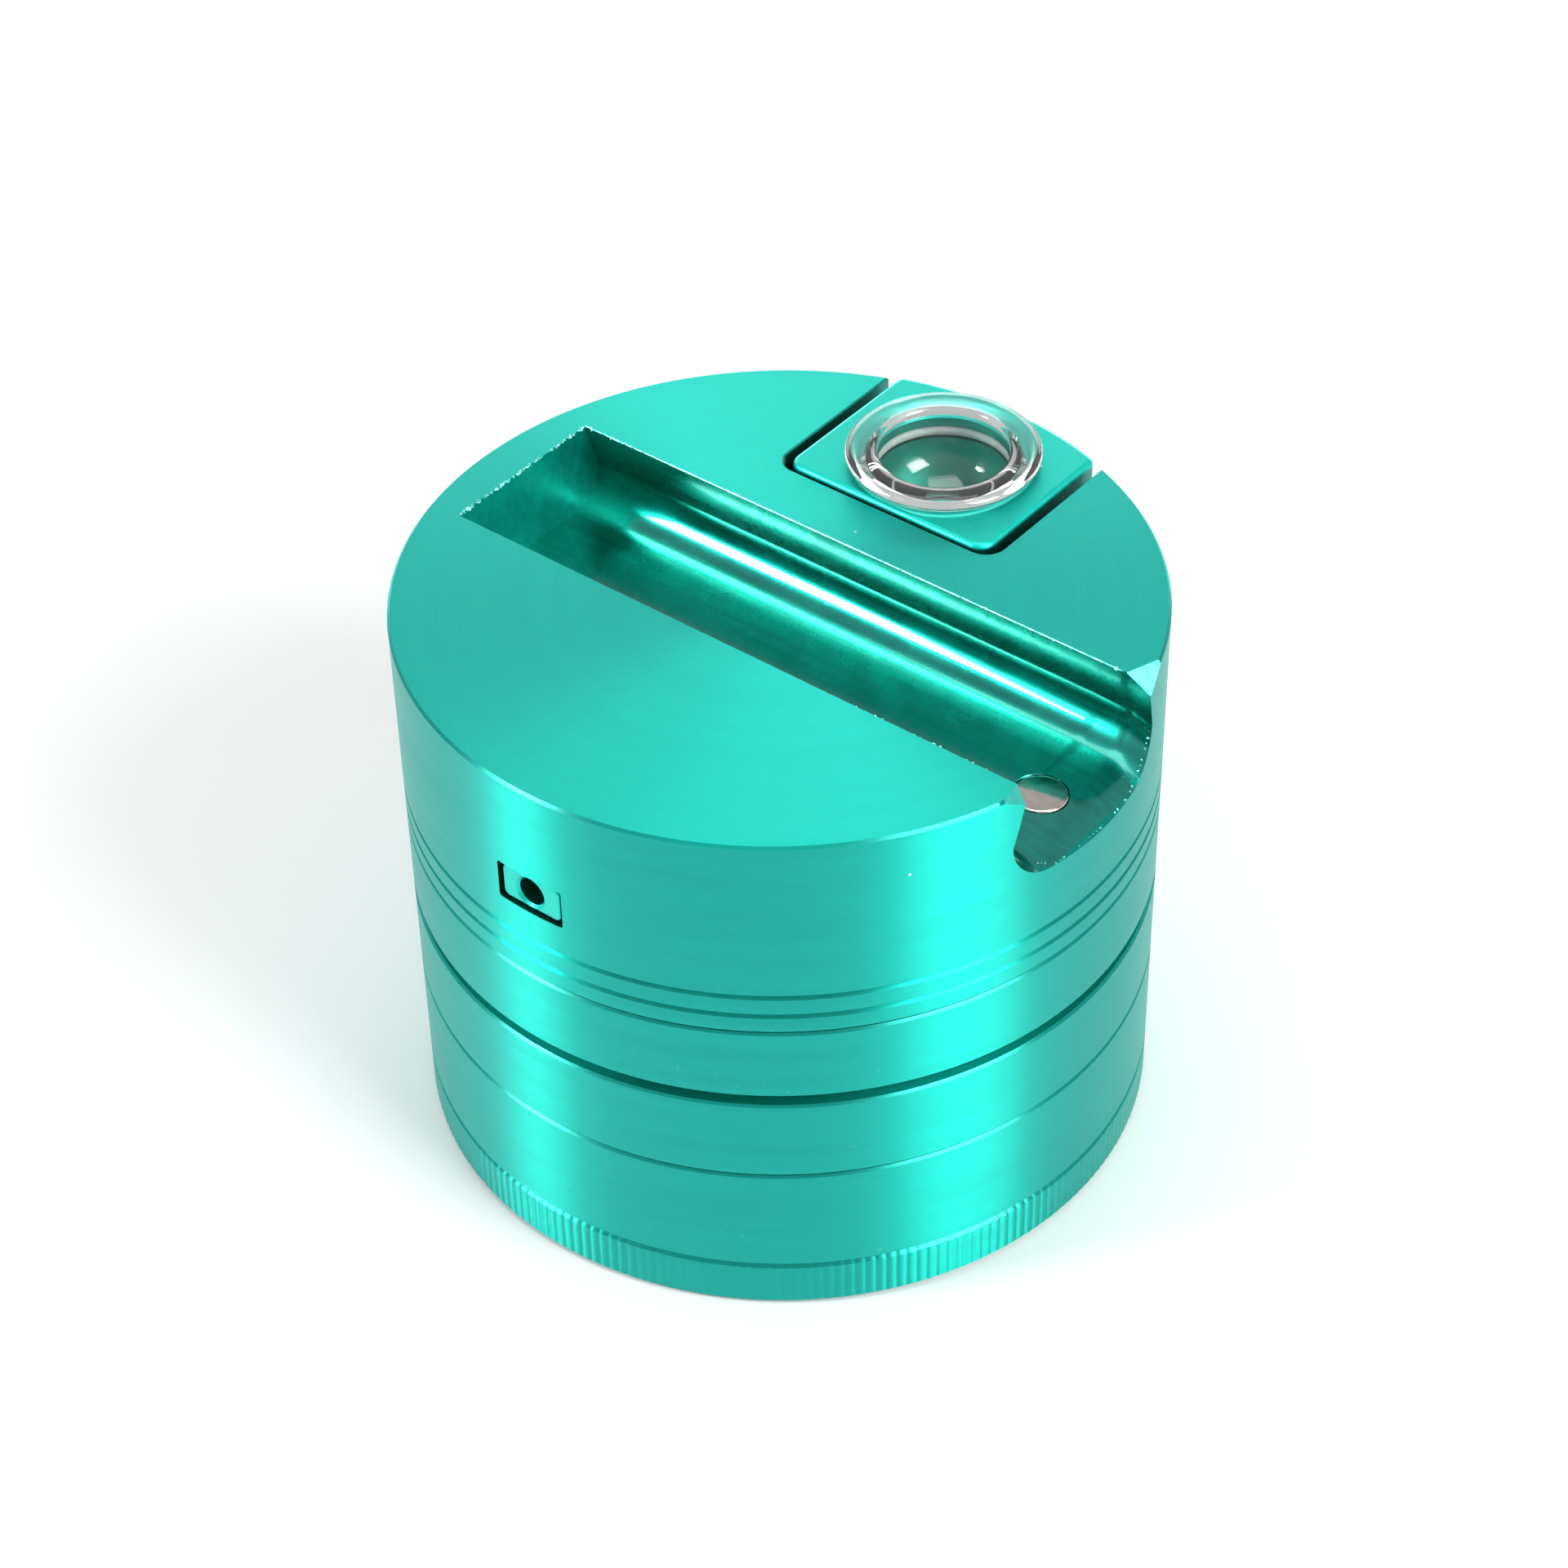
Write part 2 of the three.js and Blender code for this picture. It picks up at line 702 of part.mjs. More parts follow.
const pipe = new THREE.Group();
const stem = piece("pipe_stem", pipeStem(), "anodised");
stem.position.set(0, headInner + tenonLength, stemMiddle);
const bowl = piece("glass_bowl", glassBowl(), "glass");
bowl.position.set(0, bowlY, headTop);
const seal = piece("bowl_seal", bowlSeal(), "silicone");
seal.position.set(0, bowlY, headTop - sealDepth);
pipe.add(piece("pipe_head", pipeHead(), "anodised"), stem, bowl, seal);

// Two pairs of catch magnets, one disc of each in the notch's wall and one in the pipe head
const sides = { left: -1, right: 1 };
for (const [sideName, side] of Object.entries(sides)) {
  const inTray = piece(`tray_catch_magnet_${sideName}`, sideDisc(catchRadius, catchLength), "nickel");
  inTray.position.set(side * catchSpread, notchInner - catchLength, catchZ);
  stack.add(inTray);
  const inHead = piece(`pipe_catch_magnet_${sideName}`, sideDisc(catchRadius, catchLength), "nickel");
  inHead.position.set(side * catchSpread, headInner, catchZ);
  pipe.add(inHead);
}

const grinder = new THREE.Group();
grinder.add(stack, pipe);
export default grinder;
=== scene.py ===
import math

import bmesh
import bpy
from mathutils import Matrix, Vector, noise


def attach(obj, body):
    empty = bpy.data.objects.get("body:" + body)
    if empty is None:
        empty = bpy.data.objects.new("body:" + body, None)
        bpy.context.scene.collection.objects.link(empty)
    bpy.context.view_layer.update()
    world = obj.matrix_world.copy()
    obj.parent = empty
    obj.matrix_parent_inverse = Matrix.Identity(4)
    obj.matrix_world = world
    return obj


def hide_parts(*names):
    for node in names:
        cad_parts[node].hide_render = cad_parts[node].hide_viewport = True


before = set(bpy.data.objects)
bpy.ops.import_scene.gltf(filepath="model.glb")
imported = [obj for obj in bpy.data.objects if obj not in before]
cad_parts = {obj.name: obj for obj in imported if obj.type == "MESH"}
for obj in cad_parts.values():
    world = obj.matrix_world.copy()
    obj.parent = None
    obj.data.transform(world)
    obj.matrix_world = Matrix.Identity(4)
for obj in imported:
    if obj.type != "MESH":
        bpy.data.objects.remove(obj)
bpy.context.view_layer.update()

# Pocket herb grinder of turned and milled aluminium, green anodised. Sizes are in millimetres until a piece
# is finished, and +Z is up, +X runs along the trough to its open mouth, and the pipe slides out along +Y.
MM = 0.001
SMOOTH_LIMIT = math.radians(28)

# ---- Sizes of the stack ----
BODY = 31.5
CATCHER_TOP = 4.6
STORAGE_TOP = 15.1
CHAMBER_TOP = 23.1
LID_LOW = 24.1
LID_TOP = 31.0
TRAY_TOP = 50.2
SEAM = 0.1
SOCKET = 28.3
SPIGOT = 27.3
SPIGOT_INNER = 25.0
WALL_STEPS = 288
NOTCHES = 225
STEPS_PER_NOTCH = 6
NOTCH_DEPTH = 0.045
THREAD_PITCH = 1.2
THREAD_RIDGE = 0.45

# ---- Sizes of the pipe and its bowl ----
HEAD_HALF = 10.25
HEAD_INNER = 13.9
HEAD_LOW = 37.2
HEAD_TOP = 50.5
STEM_MIDDLE = 39.8
SMOKE_BORE = 1.25
BOWL_Y = 22.25
SEAL_Z = 48.7
CATCH_X = 7.2
CATCH_Z = 44.5
CATCH_POCKET = 1.6

# ---- Sizes of the trough ----
TROUGH_END = -27.4
TROUGH_HALF = 8.0
TROUGH_FLOOR = 42.1
TROUGH_FLOOR_HALF = 5.75
TROUGH_FILLET = 3.6
TOOL_MARK = 28.0
CHATTER_START = 28.5
LIP_START = 28.6
LIP_SLOPE = 0.445


# ---- Node helpers ----
def add(tree, kind, inputs=None, **settings):
    """A new node. Its inputs are values, or the sockets that feed them."""
    node = tree.nodes.new(kind)
    for key, value in settings.items():
        setattr(node, key, value)
    for key, value in (inputs or {}).items():
        if isinstance(value, bpy.types.NodeSocket):
            tree.links.new(value, node.inputs[key])
        else:
            node.inputs[key].default_value = value
    return node


def calc(tree, operation, *values, clamp=False):
    """The result of one Math node."""
    node = add(tree, "ShaderNodeMath", dict(enumerate(values)), operation=operation, use_clamp=clamp)
    return node.outputs[0]


def vector(tree, operation, *values, **named):
    """The result of one Vector Math node: a number for LENGTH, else a vector."""
    node = add(tree, "ShaderNodeVectorMath", {**dict(enumerate(values)), **named}, operation=operation)
    return node.outputs["Value" if operation == "LENGTH" else "Vector"]


def clouds(tree, where, scale, detail, roughness=0.5):
    """The value of a noise in space."""
    given = {"Vector": where, "Scale": scale, "Detail": detail, "Roughness": roughness}
    return add(tree, "ShaderNodeTexNoise", given).outputs[0]


def stripes(tree, place, detail, roughness=0.5):
    """The value of a noise along a line, about one step per unit of place."""
    given = {"W": place, "Scale": 1.0, "Detail": detail, "Roughness": roughness}
    return add(tree, "ShaderNodeTexNoise", given, noise_dimensions="1D").outputs[0]


def open_group(kind, name, inputs, outputs):
    """A node group with named sockets, its input node and its output node."""
    tree = bpy.data.node_groups.new(name, kind)
    for in_out, sockets in (("INPUT", inputs), ("OUTPUT", outputs)):
        for label, shape, *default in sockets:
            socket = tree.interface.new_socket(name=label, in_out=in_out, socket_type="NodeSocket" + shape)
            if default:
                socket.default_value = default[0]
    return tree, tree.nodes.new("NodeGroupInput").outputs, tree.nodes.new("NodeGroupOutput").inputs


# ---- Mesh helpers ----
def linked(name, mesh):
    thing = bpy.data.objects.new(name, mesh)
    bpy.context.scene.collection.objects.link(thing)
    return thing


def mesh_of(name, points, faces):
    mesh = bpy.data.meshes.new(name)
    mesh.from_pydata(points, [], faces)
    mesh.validate()
    return mesh


def evaluated_mesh(thing):
    """A plain copy of what the object's modifiers make. The object itself is removed."""
    mesh = bpy.data.meshes.new_from_object(thing.evaluated_get(bpy.context.evaluated_depsgraph_get()))
    old = thing.data
    bpy.data.objects.remove(thing)
    if old.users == 0:
        bpy.data.meshes.remove(old)
    return mesh


def turned(profile, steps=WALL_STEPS, centre=(0, 0)):
    """A closed solid of revolution. The profile is [radius, height] and closes on itself or on the axis."""
    cx, cy = centre
    points, rings = [], []
    for radius, height in profile:
        if radius < 1e-9:
            rings.append([len(points)])
            points.append((cx, cy, height))
            continue
        rings.append(list(range(len(points), len(points) + steps)))
        for i in range(steps):
            angle = 2 * math.pi * i / steps
            points.append((cx + radius * math.cos(angle), cy + radius * math.sin(angle), height))
    pairs = list(zip(rings, rings[1:]))
    if len(rings[0]) > 1:
        pairs.append((rings[-1], rings[0]))
    faces = []
    for low, high in pairs:
        for i in range(steps):
            j = (i + 1) % steps
            if len(low) == 1 and len(high) == 1:
                continue
            if len(low) == 1:
                faces.append((low[0], high[j], high[i]))
            elif len(high) == 1:
                faces.append((low[i], low[j], high[0]))
            else:
                faces.append((low[i], low[j], high[j], high[i]))
    return outward(mesh_of("turned", points, faces))


def outward(mesh):
    """The same mesh with its doubles merged and its faces pointing out of the solid."""
    work = bmesh.new()
    work.from_mesh(mesh)
    bmesh.ops.remove_doubles(work, verts=work.verts, dist=1e-5)
    bmesh.ops.recalc_face_normals(work, faces=work.faces)
    work.to_mesh(mesh)
    work.free()
    return mesh


def arc(cx, cz, radius, start, end, steps):
    """Points [x, z] on an arc. The angles are in degrees."""
    angles = [math.radians(start + (end - start) * i / steps) for i in range(steps + 1)]
    return [[cx + radius * math.cos(a), cz + radius * math.sin(a)] for a in angles]


def lofted(rings):
    """A closed solid through rings of the same number of points, with its two ends filled."""
    count = len(rings[0])
    points = [p for ring in rings for p in ring]
    faces = [tuple(range(count)), tuple(range((len(rings) - 1) * count, len(rings) * count))]
    for k in range(len(rings) - 1):
        for i in range(count):
            j = (i + 1) % count
            a, b = k * count, (k + 1) * count
            faces.append((a + i, a + j, b + j, b + i))
    return outward(mesh_of("lofted", points, faces))


def block(low, high):
    """A plain block, used only to cut."""
    (x0, y0, z0), (x1, y1, z1) = low, high
    base = [(x0, y0), (x1, y0), (x1, y1), (x0, y1)]
    return lofted([[(x, y, z0) for x, y in base], [(x, y, z1) for x, y in base]])


def lying_rod(radius, x, z, y0, y1, steps=48):
    """A rod along Y, used only to cut."""
    ring = [(2 * math.pi * i / steps) for i in range(steps)]
    return lofted(
        [[(x + radius * math.cos(a), y, z + radius * math.sin(a)) for a in ring] for y in (y0, y1)]
    )


def carved(base, joined=(), cut=()):
    """The base mesh with some meshes joined on and others cut away."""
    thing = linked("work", base)
    tools = []
    for operation, meshes in (("UNION", joined), ("DIFFERENCE", cut)):
        for mesh in meshes:
            tool = linked("tool", mesh)
            tools.append(tool)
            step = thing.modifiers.new(operation, "BOOLEAN")
            step.operation, step.object, step.solver = operation, tool, "MANIFOLD"
    mesh = evaluated_mesh(thing)
    for tool in tools:
        old = tool.data
        bpy.data.objects.remove(tool)
        bpy.data.meshes.remove(old)
    work = bmesh.new()
    work.from_mesh(mesh)
    bmesh.ops.remove_doubles(work, verts=work.verts, dist=1e-4)
    bmesh.ops.dissolve_degenerate(work, edges=work.edges, dist=1e-4)
    work.to_mesh(mesh)
    work.free()
    return mesh


def grown(tree, base=None, **values):
    """The plain mesh that a Geometry Nodes tree makes. Its inputs are given by name."""
    thing = linked("grown", base or bpy.data.meshes.new("empty"))
    step = thing.modifiers.new("Build", "NODES")
    step.node_group = tree
    for item in tree.interface.items_tree:
        if item.item_type == "SOCKET" and item.in_out == "INPUT" and item.name in values:
            step[item.identifier] = values[item.name]
    return evaluated_mesh(thing)


def joined_meshes(meshes):
    work = bmesh.new()
    for mesh in meshes:
        work.from_mesh(mesh)
    result = bpy.data.meshes.new("joined")
    work.to_mesh(result)
    work.free()
    return result


def piece(name, mesh, body, materials, replaces=(), rule=None, smooth=True):
    """Finishes a mesh as a named piece: metres, smooth faces with sharp edges, its materials, its body."""
    mesh.transform(Matrix.Scale(MM, 4))
    mesh.name = name
    mesh.materials.clear()
    for material in materials:
        mesh.materials.append(material)
    for face in mesh.polygons:
        face.use_smooth = smooth
        face.material_index = rule(face.center / MM, face.normal) if rule else 0
    mesh.set_sharp_from_angle(angle=SMOOTH_LIMIT)
    mesh.update()
    thing = linked(name, mesh)
    if smooth:
        step = thing.modifiers.new("Flat faces stay flat", "WEIGHTED_NORMAL")
        step.keep_sharp = True
        mesh = evaluated_mesh(thing)
        mesh.name = name
        thing = linked(name, mesh)
    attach(thing, body)
    if replaces:
        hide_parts(*replaces)
    return thing


# ---- Shader groups ----
SURFACE_OUTPUTS = [("Height", "Float"), ("Roughness", "Float"), ("Tone", "Float")]


def turned_rings_group():
    """Fine rings left by facing on a lathe, about the Z axis."""
    tree, given, result = open_group(
        "ShaderNodeTree",
        "Turned rings",
        [("Vector", "Vector"), ("Spacing", "Float", 0.00018), ("Chatter", "Float", 0.35)],
        SURFACE_OUTPUTS,
    )
    radius = vector(tree, "LENGTH", vector(tree, "MULTIPLY", given["Vector"], (1, 1, 0)))
    fine = stripes(tree, calc(tree, "DIVIDE", radius, given["Spacing"]), 3.0, 0.7)
    chatter = calc(tree, "SUBTRACT", clouds(tree, given["Vector"], 900.0, 2.0), 0.5)
    line = calc(tree, "MULTIPLY_ADD", chatter, given["Chatter"], fine)
    tree.links.new(line, result["Height"])
    tree.links.new(line, result["Tone"])
    tree.links.new(stripes(tree, calc(tree, "MULTIPLY", radius, 400.0), 2.0), result["Roughness"])
    return tree


def lathe_lines_group():
    """Level lines round a turned wall, broken here and there."""
    tree, given, result = open_group(
        "ShaderNodeTree",
        "Lathe lines",
        [("Vector", "Vector"), ("Spacing", "Float", 0.00012)],
        SURFACE_OUTPUTS,
    )
    per_metre = calc(tree, "DIVIDE", 1.0, given["Spacing"])
    stretch = add(tree, "ShaderNodeCombineXYZ", {0: 110.0, 1: 110.0, 2: per_metre}).outputs[0]
    line = clouds(tree, vector(tree, "MULTIPLY", given["Vector"], stretch), 1.0, 3.0, 0.65)
    tree.links.new(line, result["Height"])
    tree.links.new(line, result["Tone"])
    broad = clouds(tree, vector(tree, "MULTIPLY", given["Vector"], (25, 25, 1400)), 1.0, 2.0)
    tree.links.new(broad, result["Roughness"])
    return tree


def handling_group():
    """Dust specks and hairline scratches, as masks from 0 to 1."""
    tree, given, result = open_group(
        "ShaderNodeTree",
        "Handling marks",
        [("Vector", "Vector"), ("Speck size", "Float", 0.05), ("Speck share", "Float", 0.03)],
        [("Specks", "Float"), ("Scratches", "Float")],
    )
    cells = add(tree, "ShaderNodeTexVoronoi", {"Vector": given["Vector"], "Scale": 420.0}, feature="F1")
    chosen = add(tree, "ShaderNodeSeparateColor", {0: cells.outputs["Color"]})
    is_speck = calc(tree, "LESS_THAN", chosen.outputs[0], given["Speck share"])
    near = calc(tree, "LESS_THAN", cells.outputs["Distance"], given["Speck size"])
    hairs = []
    for turn in (0.6, 2.1):
        leaned = add(tree, "ShaderNodeVectorRotate", {"Vector": given["Vector"], "Angle": turn}).outputs[0]
        line = clouds(tree, vector(tree, "MULTIPLY", leaned, (130, 5200, 1800)), 1.0, 0.0)
        hairs.append(calc(tree, "GREATER_THAN", line, 0.83))
    patches = calc(tree, "GREATER_THAN", clouds(tree, given["Vector"], 75.0, 1.0), 0.55)
    scratch = calc(tree, "MULTIPLY", calc(tree, "MAXIMUM", *hairs), patches)
    tree.links.new(calc(tree, "MULTIPLY", is_speck, near), result["Specks"])
    tree.links.new(scratch, result["Scratches"])
    return tree


def blotch_group():
    """Uneven milling: long soft streaks along X, clouds, and chatter marks past a given X."""
    tree, given, result = open_group(
        "ShaderNodeTree",
        "Milled blotches",
        [
            ("Vector", "Vector"), ("Cloud scale", "Float", 240.0), ("Cloud depth", "Float", 8.0),
            ("Chatter from", "Float", 1.0),
        ],
        SURFACE_OUTPUTS,
    )
    streak = clouds(tree, vector(tree, "MULTIPLY", given["Vector"], (60, 1500, 1500)), 1.0, 3.0)
    cloud = clouds(tree, given["Vector"], given["Cloud scale"], 5.0, 0.62)
    swell = clouds(tree, given["Vector"], given["Cloud scale"], 1.0, 0.4)
    along = add(tree, "ShaderNodeSeparateXYZ", {0: given["Vector"]}).outputs[0]
    past = calc(tree, "MULTIPLY", calc(tree, "SUBTRACT", along, given["Chatter from"]), 900.0, clamp=True)
    waves = add(
        tree,
        "ShaderNodeTexWave",
        {"Vector": given["Vector"], "Scale": 1100.0, "Distortion": 2.5, "Detail": 3.0, "Detail Scale": 0.6},
        wave_type="BANDS",
        bands_direction="DIAGONAL",
    )
    rough_spot = calc(tree, "GREATER_THAN", cloud, 0.47)
    chatter = calc(tree, "MULTIPLY", calc(tree, "MULTIPLY", waves.outputs["Fac"], past), rough_spot)
    height = calc(tree, "MULTIPLY_ADD", swell, given["Cloud depth"], streak)
    tree.links.new(calc(tree, "MULTIPLY_ADD", chatter, 1.4, height), result["Height"])
    tree.links.new(cloud, result["Roughness"])
    tree.links.new(streak, result["Tone"])
    return tree


TURNED_RINGS = turned_rings_group()
LATHE_LINES = lathe_lines_group()
HANDLING = handling_group()
BLOTCHES = blotch_group()


# ---- Materials ----
def new_material(name):
    material = bpy.data.materials.new(name)
    material.use_nodes = True
    tree = material.node_tree
    shader = tree.nodes["Principled BSDF"]
    where = add(tree, "ShaderNodeTexCoord").outputs["Object"]
    return material, tree, shader, where


def toned(tree, dark, light, factor):
    """A colour between two, by a factor from 0 to 1."""
    node = add(tree, "ShaderNodeMix", {"Factor": factor}, data_type="RGBA")
    node.inputs[6].default_value = (*dark, 1)
    node.inputs[7].default_value = (*light, 1)
    return node.outputs[2]


def over(tree, colour, top, mask):
    """A colour laid over another where the mask is 1."""
    node = add(tree, "ShaderNodeMix", {"Factor": mask}, data_type="RGBA")
    tree.links.new(colour, node.inputs[6])
    node.inputs[7].default_value = (*top, 1)
    return node.outputs[2]


def spread(tree, value, low, high):
    """A noise value, mostly between 0.25 and 0.75, moved to run from low to high."""
    node = add(tree, "ShaderNodeMapRange", {"Value": value, "From Min": 0.25, "From Max": 0.75})
    node.inputs["To Min"].default_value = low
    node.inputs["To Max"].default_value = high
    return node.outputs[0]


def bumped(tree, shader, height, distance, strength=1.0):
    node = add(tree, "ShaderNodeBump", {"Height": height, "Distance": distance, "Strength": strength})
    tree.links.new(node.outputs[0], shader.inputs["Normal"])


# Linear colours, dark and light, between which each surface changes
WALL_TONES = ((0.004, 0.43, 0.365), (0.006, 0.52, 0.44))
# The next tones are a lighter copy of the walls' green for faced tops and satin faces: painted light on faces
# that look up.
FACE_TONES_PAINTED_LIGHT = ((0.005, 0.57, 0.475), (0.007, 0.67, 0.56))
# The trough's tones are a darker copy of the green: painted shade inside the trough.
TROUGH_TONES_PAINTED_SHADE = ((0.0015, 0.25, 0.20), (0.003, 0.39, 0.31))
END_WALL_TONES = ((0.002, 0.36, 0.29), (0.004, 0.52, 0.42))
# The pockets' tones are a darker copy of the green: painted shade in the pockets, the notch gaps and the bowl
# well.
POCKET_TONES_PAINTED_SHADE = ((0.002, 0.22, 0.18), (0.003, 0.32, 0.26))
CUT_EDGE_TONES = ((0.02, 0.56, 0.48), (0.10, 0.72, 0.63))
# The burr flakes are real, but their light cyan, far lighter than the green metal, is a painted glint along
# the edges.
BURR_TONES_PAINTED_GLINT = ((0.07, 0.64, 0.57), (0.38, 0.92, 0.85))
DUST = (0.55, 0.85, 0.78)
RUBBED = (0.10, 0.62, 0.50)


def anodised(name, pattern, tones, roughness, depth, contrast, settings=None, specks=0.03,
             anisotropy=0.0, coat=(0.35, 0.22)):
    """Green anodised aluminium, with the marks that its tool left.

    The metal carries the dye, and the clear oxide over it is the coat: (weight, roughness)."""
    material, tree, shader, where = new_material(name)
    lines = add(tree, "ShaderNodeGroup", node_tree=pattern)
    tree.links.new(where, lines.inputs["Vector"])
    for label, value in (settings or {}).items():
        lines.inputs[label].default_value = value
    marks = add(tree, "ShaderNodeGroup", node_tree=HANDLING)
    tree.links.new(where, marks.inputs["Vector"])
    marks.inputs["Speck share"].default_value = specks
    tone = spread(tree, lines.outputs["Tone"], 0.5 - 0.5 * contrast, 0.5 + 0.5 * contrast)
    colour = over(tree, toned(tree, *tones, tone), DUST, marks.outputs["Specks"])
    colour = over(tree, colour, RUBBED, calc(tree, "MULTIPLY", marks.outputs["Scratches"], 0.35))
    tree.links.new(colour, shader.inputs["Base Color"])
    tree.links.new(spread(tree, lines.outputs["Roughness"], *roughness), shader.inputs["Roughness"])
    shader.inputs["Metallic"].default_value = 1.0
    shader.inputs["Coat Weight"].default_value, shader.inputs["Coat Roughness"].default_value = coat
    if anisotropy:
        shader.inputs["Anisotropic"].default_value = anisotropy
        shader.inputs["Anisotropic Rotation"].default_value = 0.25
        tangent = add(tree, "ShaderNodeTangent", direction_type="RADIAL", axis="Z")
        tree.links.new(tangent.outputs[0], shader.inputs["Tangent"])
    bumped(tree, shader, lines.outputs["Height"], depth)
    return material


SIDE = anodised(
    "anodised_turned_wall", LATHE_LINES, WALL_TONES, (0.37, 0.43), 0.000001, 0.6, {"Spacing": 0.00014},
    anisotropy=0.98, coat=(0.27, 0.22),
)
# Faced tops in the lighter copy of the green: painted light.
FACE_PAINTED_LIGHT = anodised(
    "anodised_faced_top_painted_light", TURNED_RINGS, FACE_TONES_PAINTED_LIGHT, (0.35, 0.38), 0.000003, 0.5, {"Spacing": 0.0002},
    specks=0.08, anisotropy=0.78,
)
# Satin faces, also in the lighter copy of the green: painted light.
SATIN_PAINTED_LIGHT = anodised(
    "anodised_satin_painted_light", TURNED_RINGS, FACE_TONES_PAINTED_LIGHT, (0.42, 0.5), 0.000002, 0.4, {"Spacing": 0.00025}
)
# The milled trough in the darker copy of the green: painted shade.
TROUGH_PAINTED_SHADE = anodised(
    "anodised_milled_trough_painted_shade", BLOTCHES, TROUGH_TONES_PAINTED_SHADE, (0.18, 0.34), 0.0000018, 0.7,
    {"Chatter from": CHATTER_START * MM}, coat=(1.0, 0.1),
)
END_WALL = anodised("anodised_milled_end_wall", BLOTCHES, END_WALL_TONES, (0.45, 0.6), 0.000006, 0.8)
# Milled pockets in the darker copy of the green: painted shade.
POCKET_PAINTED_SHADE = anodised("anodised_milled_pocket_painted_shade", BLOTCHES, POCKET_TONES_PAINTED_SHADE, (0.34, 0.46), 0.000004, 0.8)
CUT_EDGE = anodised("bare_cut_edge", BLOTCHES, CUT_EDGE_TONES, (0.3, 0.45), 0.000006, 0.6)
# Burr flakes whose light colour is a painted glint.
BURR_PAINTED_GLINT = anodised("burr_painted_glint", BLOTCHES, BURR_TONES_PAINTED_GLINT, (0.25, 0.4), 0.000006, 0.6)


def metal(name, dark, light, roughness, scale, depth):
    """Plain bright metal with fine scratches."""
    material, tree, shader, where = new_material(name)
    grain = clouds(tree, where, scale, 5.0, 0.6)
    marks = add(tree, "ShaderNodeGroup", node_tree=HANDLING)
    tree.links.new(where, marks.inputs["Vector"])
    colour = toned(tree, dark, light, spread(tree, grain, 0, 1))
    in_scratch = calc(tree, "MULTIPLY", marks.outputs["Scratches"], 0.5)
    colour = over(tree, colour, [c * 0.6 for c in dark], in_scratch)
    tree.links.new(colour, shader.inputs["Base Color"])
    tree.links.new(spread(tree, grain, *roughness), shader.inputs["Roughness"])
    shader.inputs["Metallic"].default_value = 1.0
    bumped(tree, shader, grain, depth)
    return material


NICKEL = metal("nickel_plate", (0.66, 0.58, 0.53), (0.80, 0.74, 0.69), (0.06, 0.16), 900.0, 0.000004)
STEEL = metal("sieve_steel", (0.45, 0.46, 0.47), (0.66, 0.67, 0.68), (0.25, 0.4), 700.0, 0.000003)


def soft_plastic(name, dark, light, roughness, scale):
    """Moulded plastic or rubber, with a fine grain."""
    material, tree, shader, where = new_material(name)
    grain = clouds(tree, where, scale, 4.0)
    tree.links.new(toned(tree, dark, light, spread(tree, grain, 0, 1)), shader.inputs["Base Color"])
    tree.links.new(spread(tree, grain, *roughness), shader.inputs["Roughness"])
    bumped(tree, shader, grain, 0.00001)
    return material


# A dark plastic ring; its green tint is a painted reflection of the green walls round its gap.
SLICK_WITH_PAINTED_REFLECTION = soft_plastic("slick_ring_plastic_painted_reflection", (0.006, 0.10, 0.09), (0.01, 0.14, 0.125), (0.4, 0.55), 1500.0)
SILICONE = soft_plastic("clear_silicone", (0.62, 0.68, 0.66), (0.75, 0.80, 0.78), (0.35, 0.5), 900.0)


def glass():
    """Clear borosilicate glass with faint waves from working it hot."""
    material, tree, shader, where = new_material("clear_glass")
    waves = clouds(tree, where, 260.0, 1.0)
    colour = toned(tree, (0.93, 0.965, 0.955), (0.99, 1.0, 0.995), spread(tree, waves, 0, 1))
    tree.links.new(colour, shader.inputs["Base Color"])
    tree.links.new(spread(tree, waves, 0.0, 0.03), shader.inputs["Roughness"])
    shader.inputs["Transmission Weight"].default_value = 0.98
    shader.inputs["IOR"].default_value = 1.47
    bumped(tree, shader, waves, 0.00003, 0.6)
    return material


GLASS = glass()


# ---- Geometry Nodes trees ----
def geometry_tree(name, inputs):
    tree, given, result = open_group("GeometryNodeTree", name, inputs, [("Geometry", "Geometry")])
    tree.is_modifier = True
    return tree, given, result


def painted(tree, given, result, geometry):
    """Ends a tree: its instances are made real and take the given material."""
    real = add(tree, "GeometryNodeRealizeInstances", {"Geometry": geometry})
    done = add(
        tree, "GeometryNodeSetMaterial", {"Geometry": real.outputs[0], "Material": given["Material"]}
    )
    tree.links.new(done.outputs[0], result["Geometry"])
    return tree


def wire_section(tree, radius):
    """A square section for threads and wires."""
    return add(tree, "GeometryNodeCurvePrimitiveCircle", {"Resolution": 4, "Radius": radius}).outputs[0]


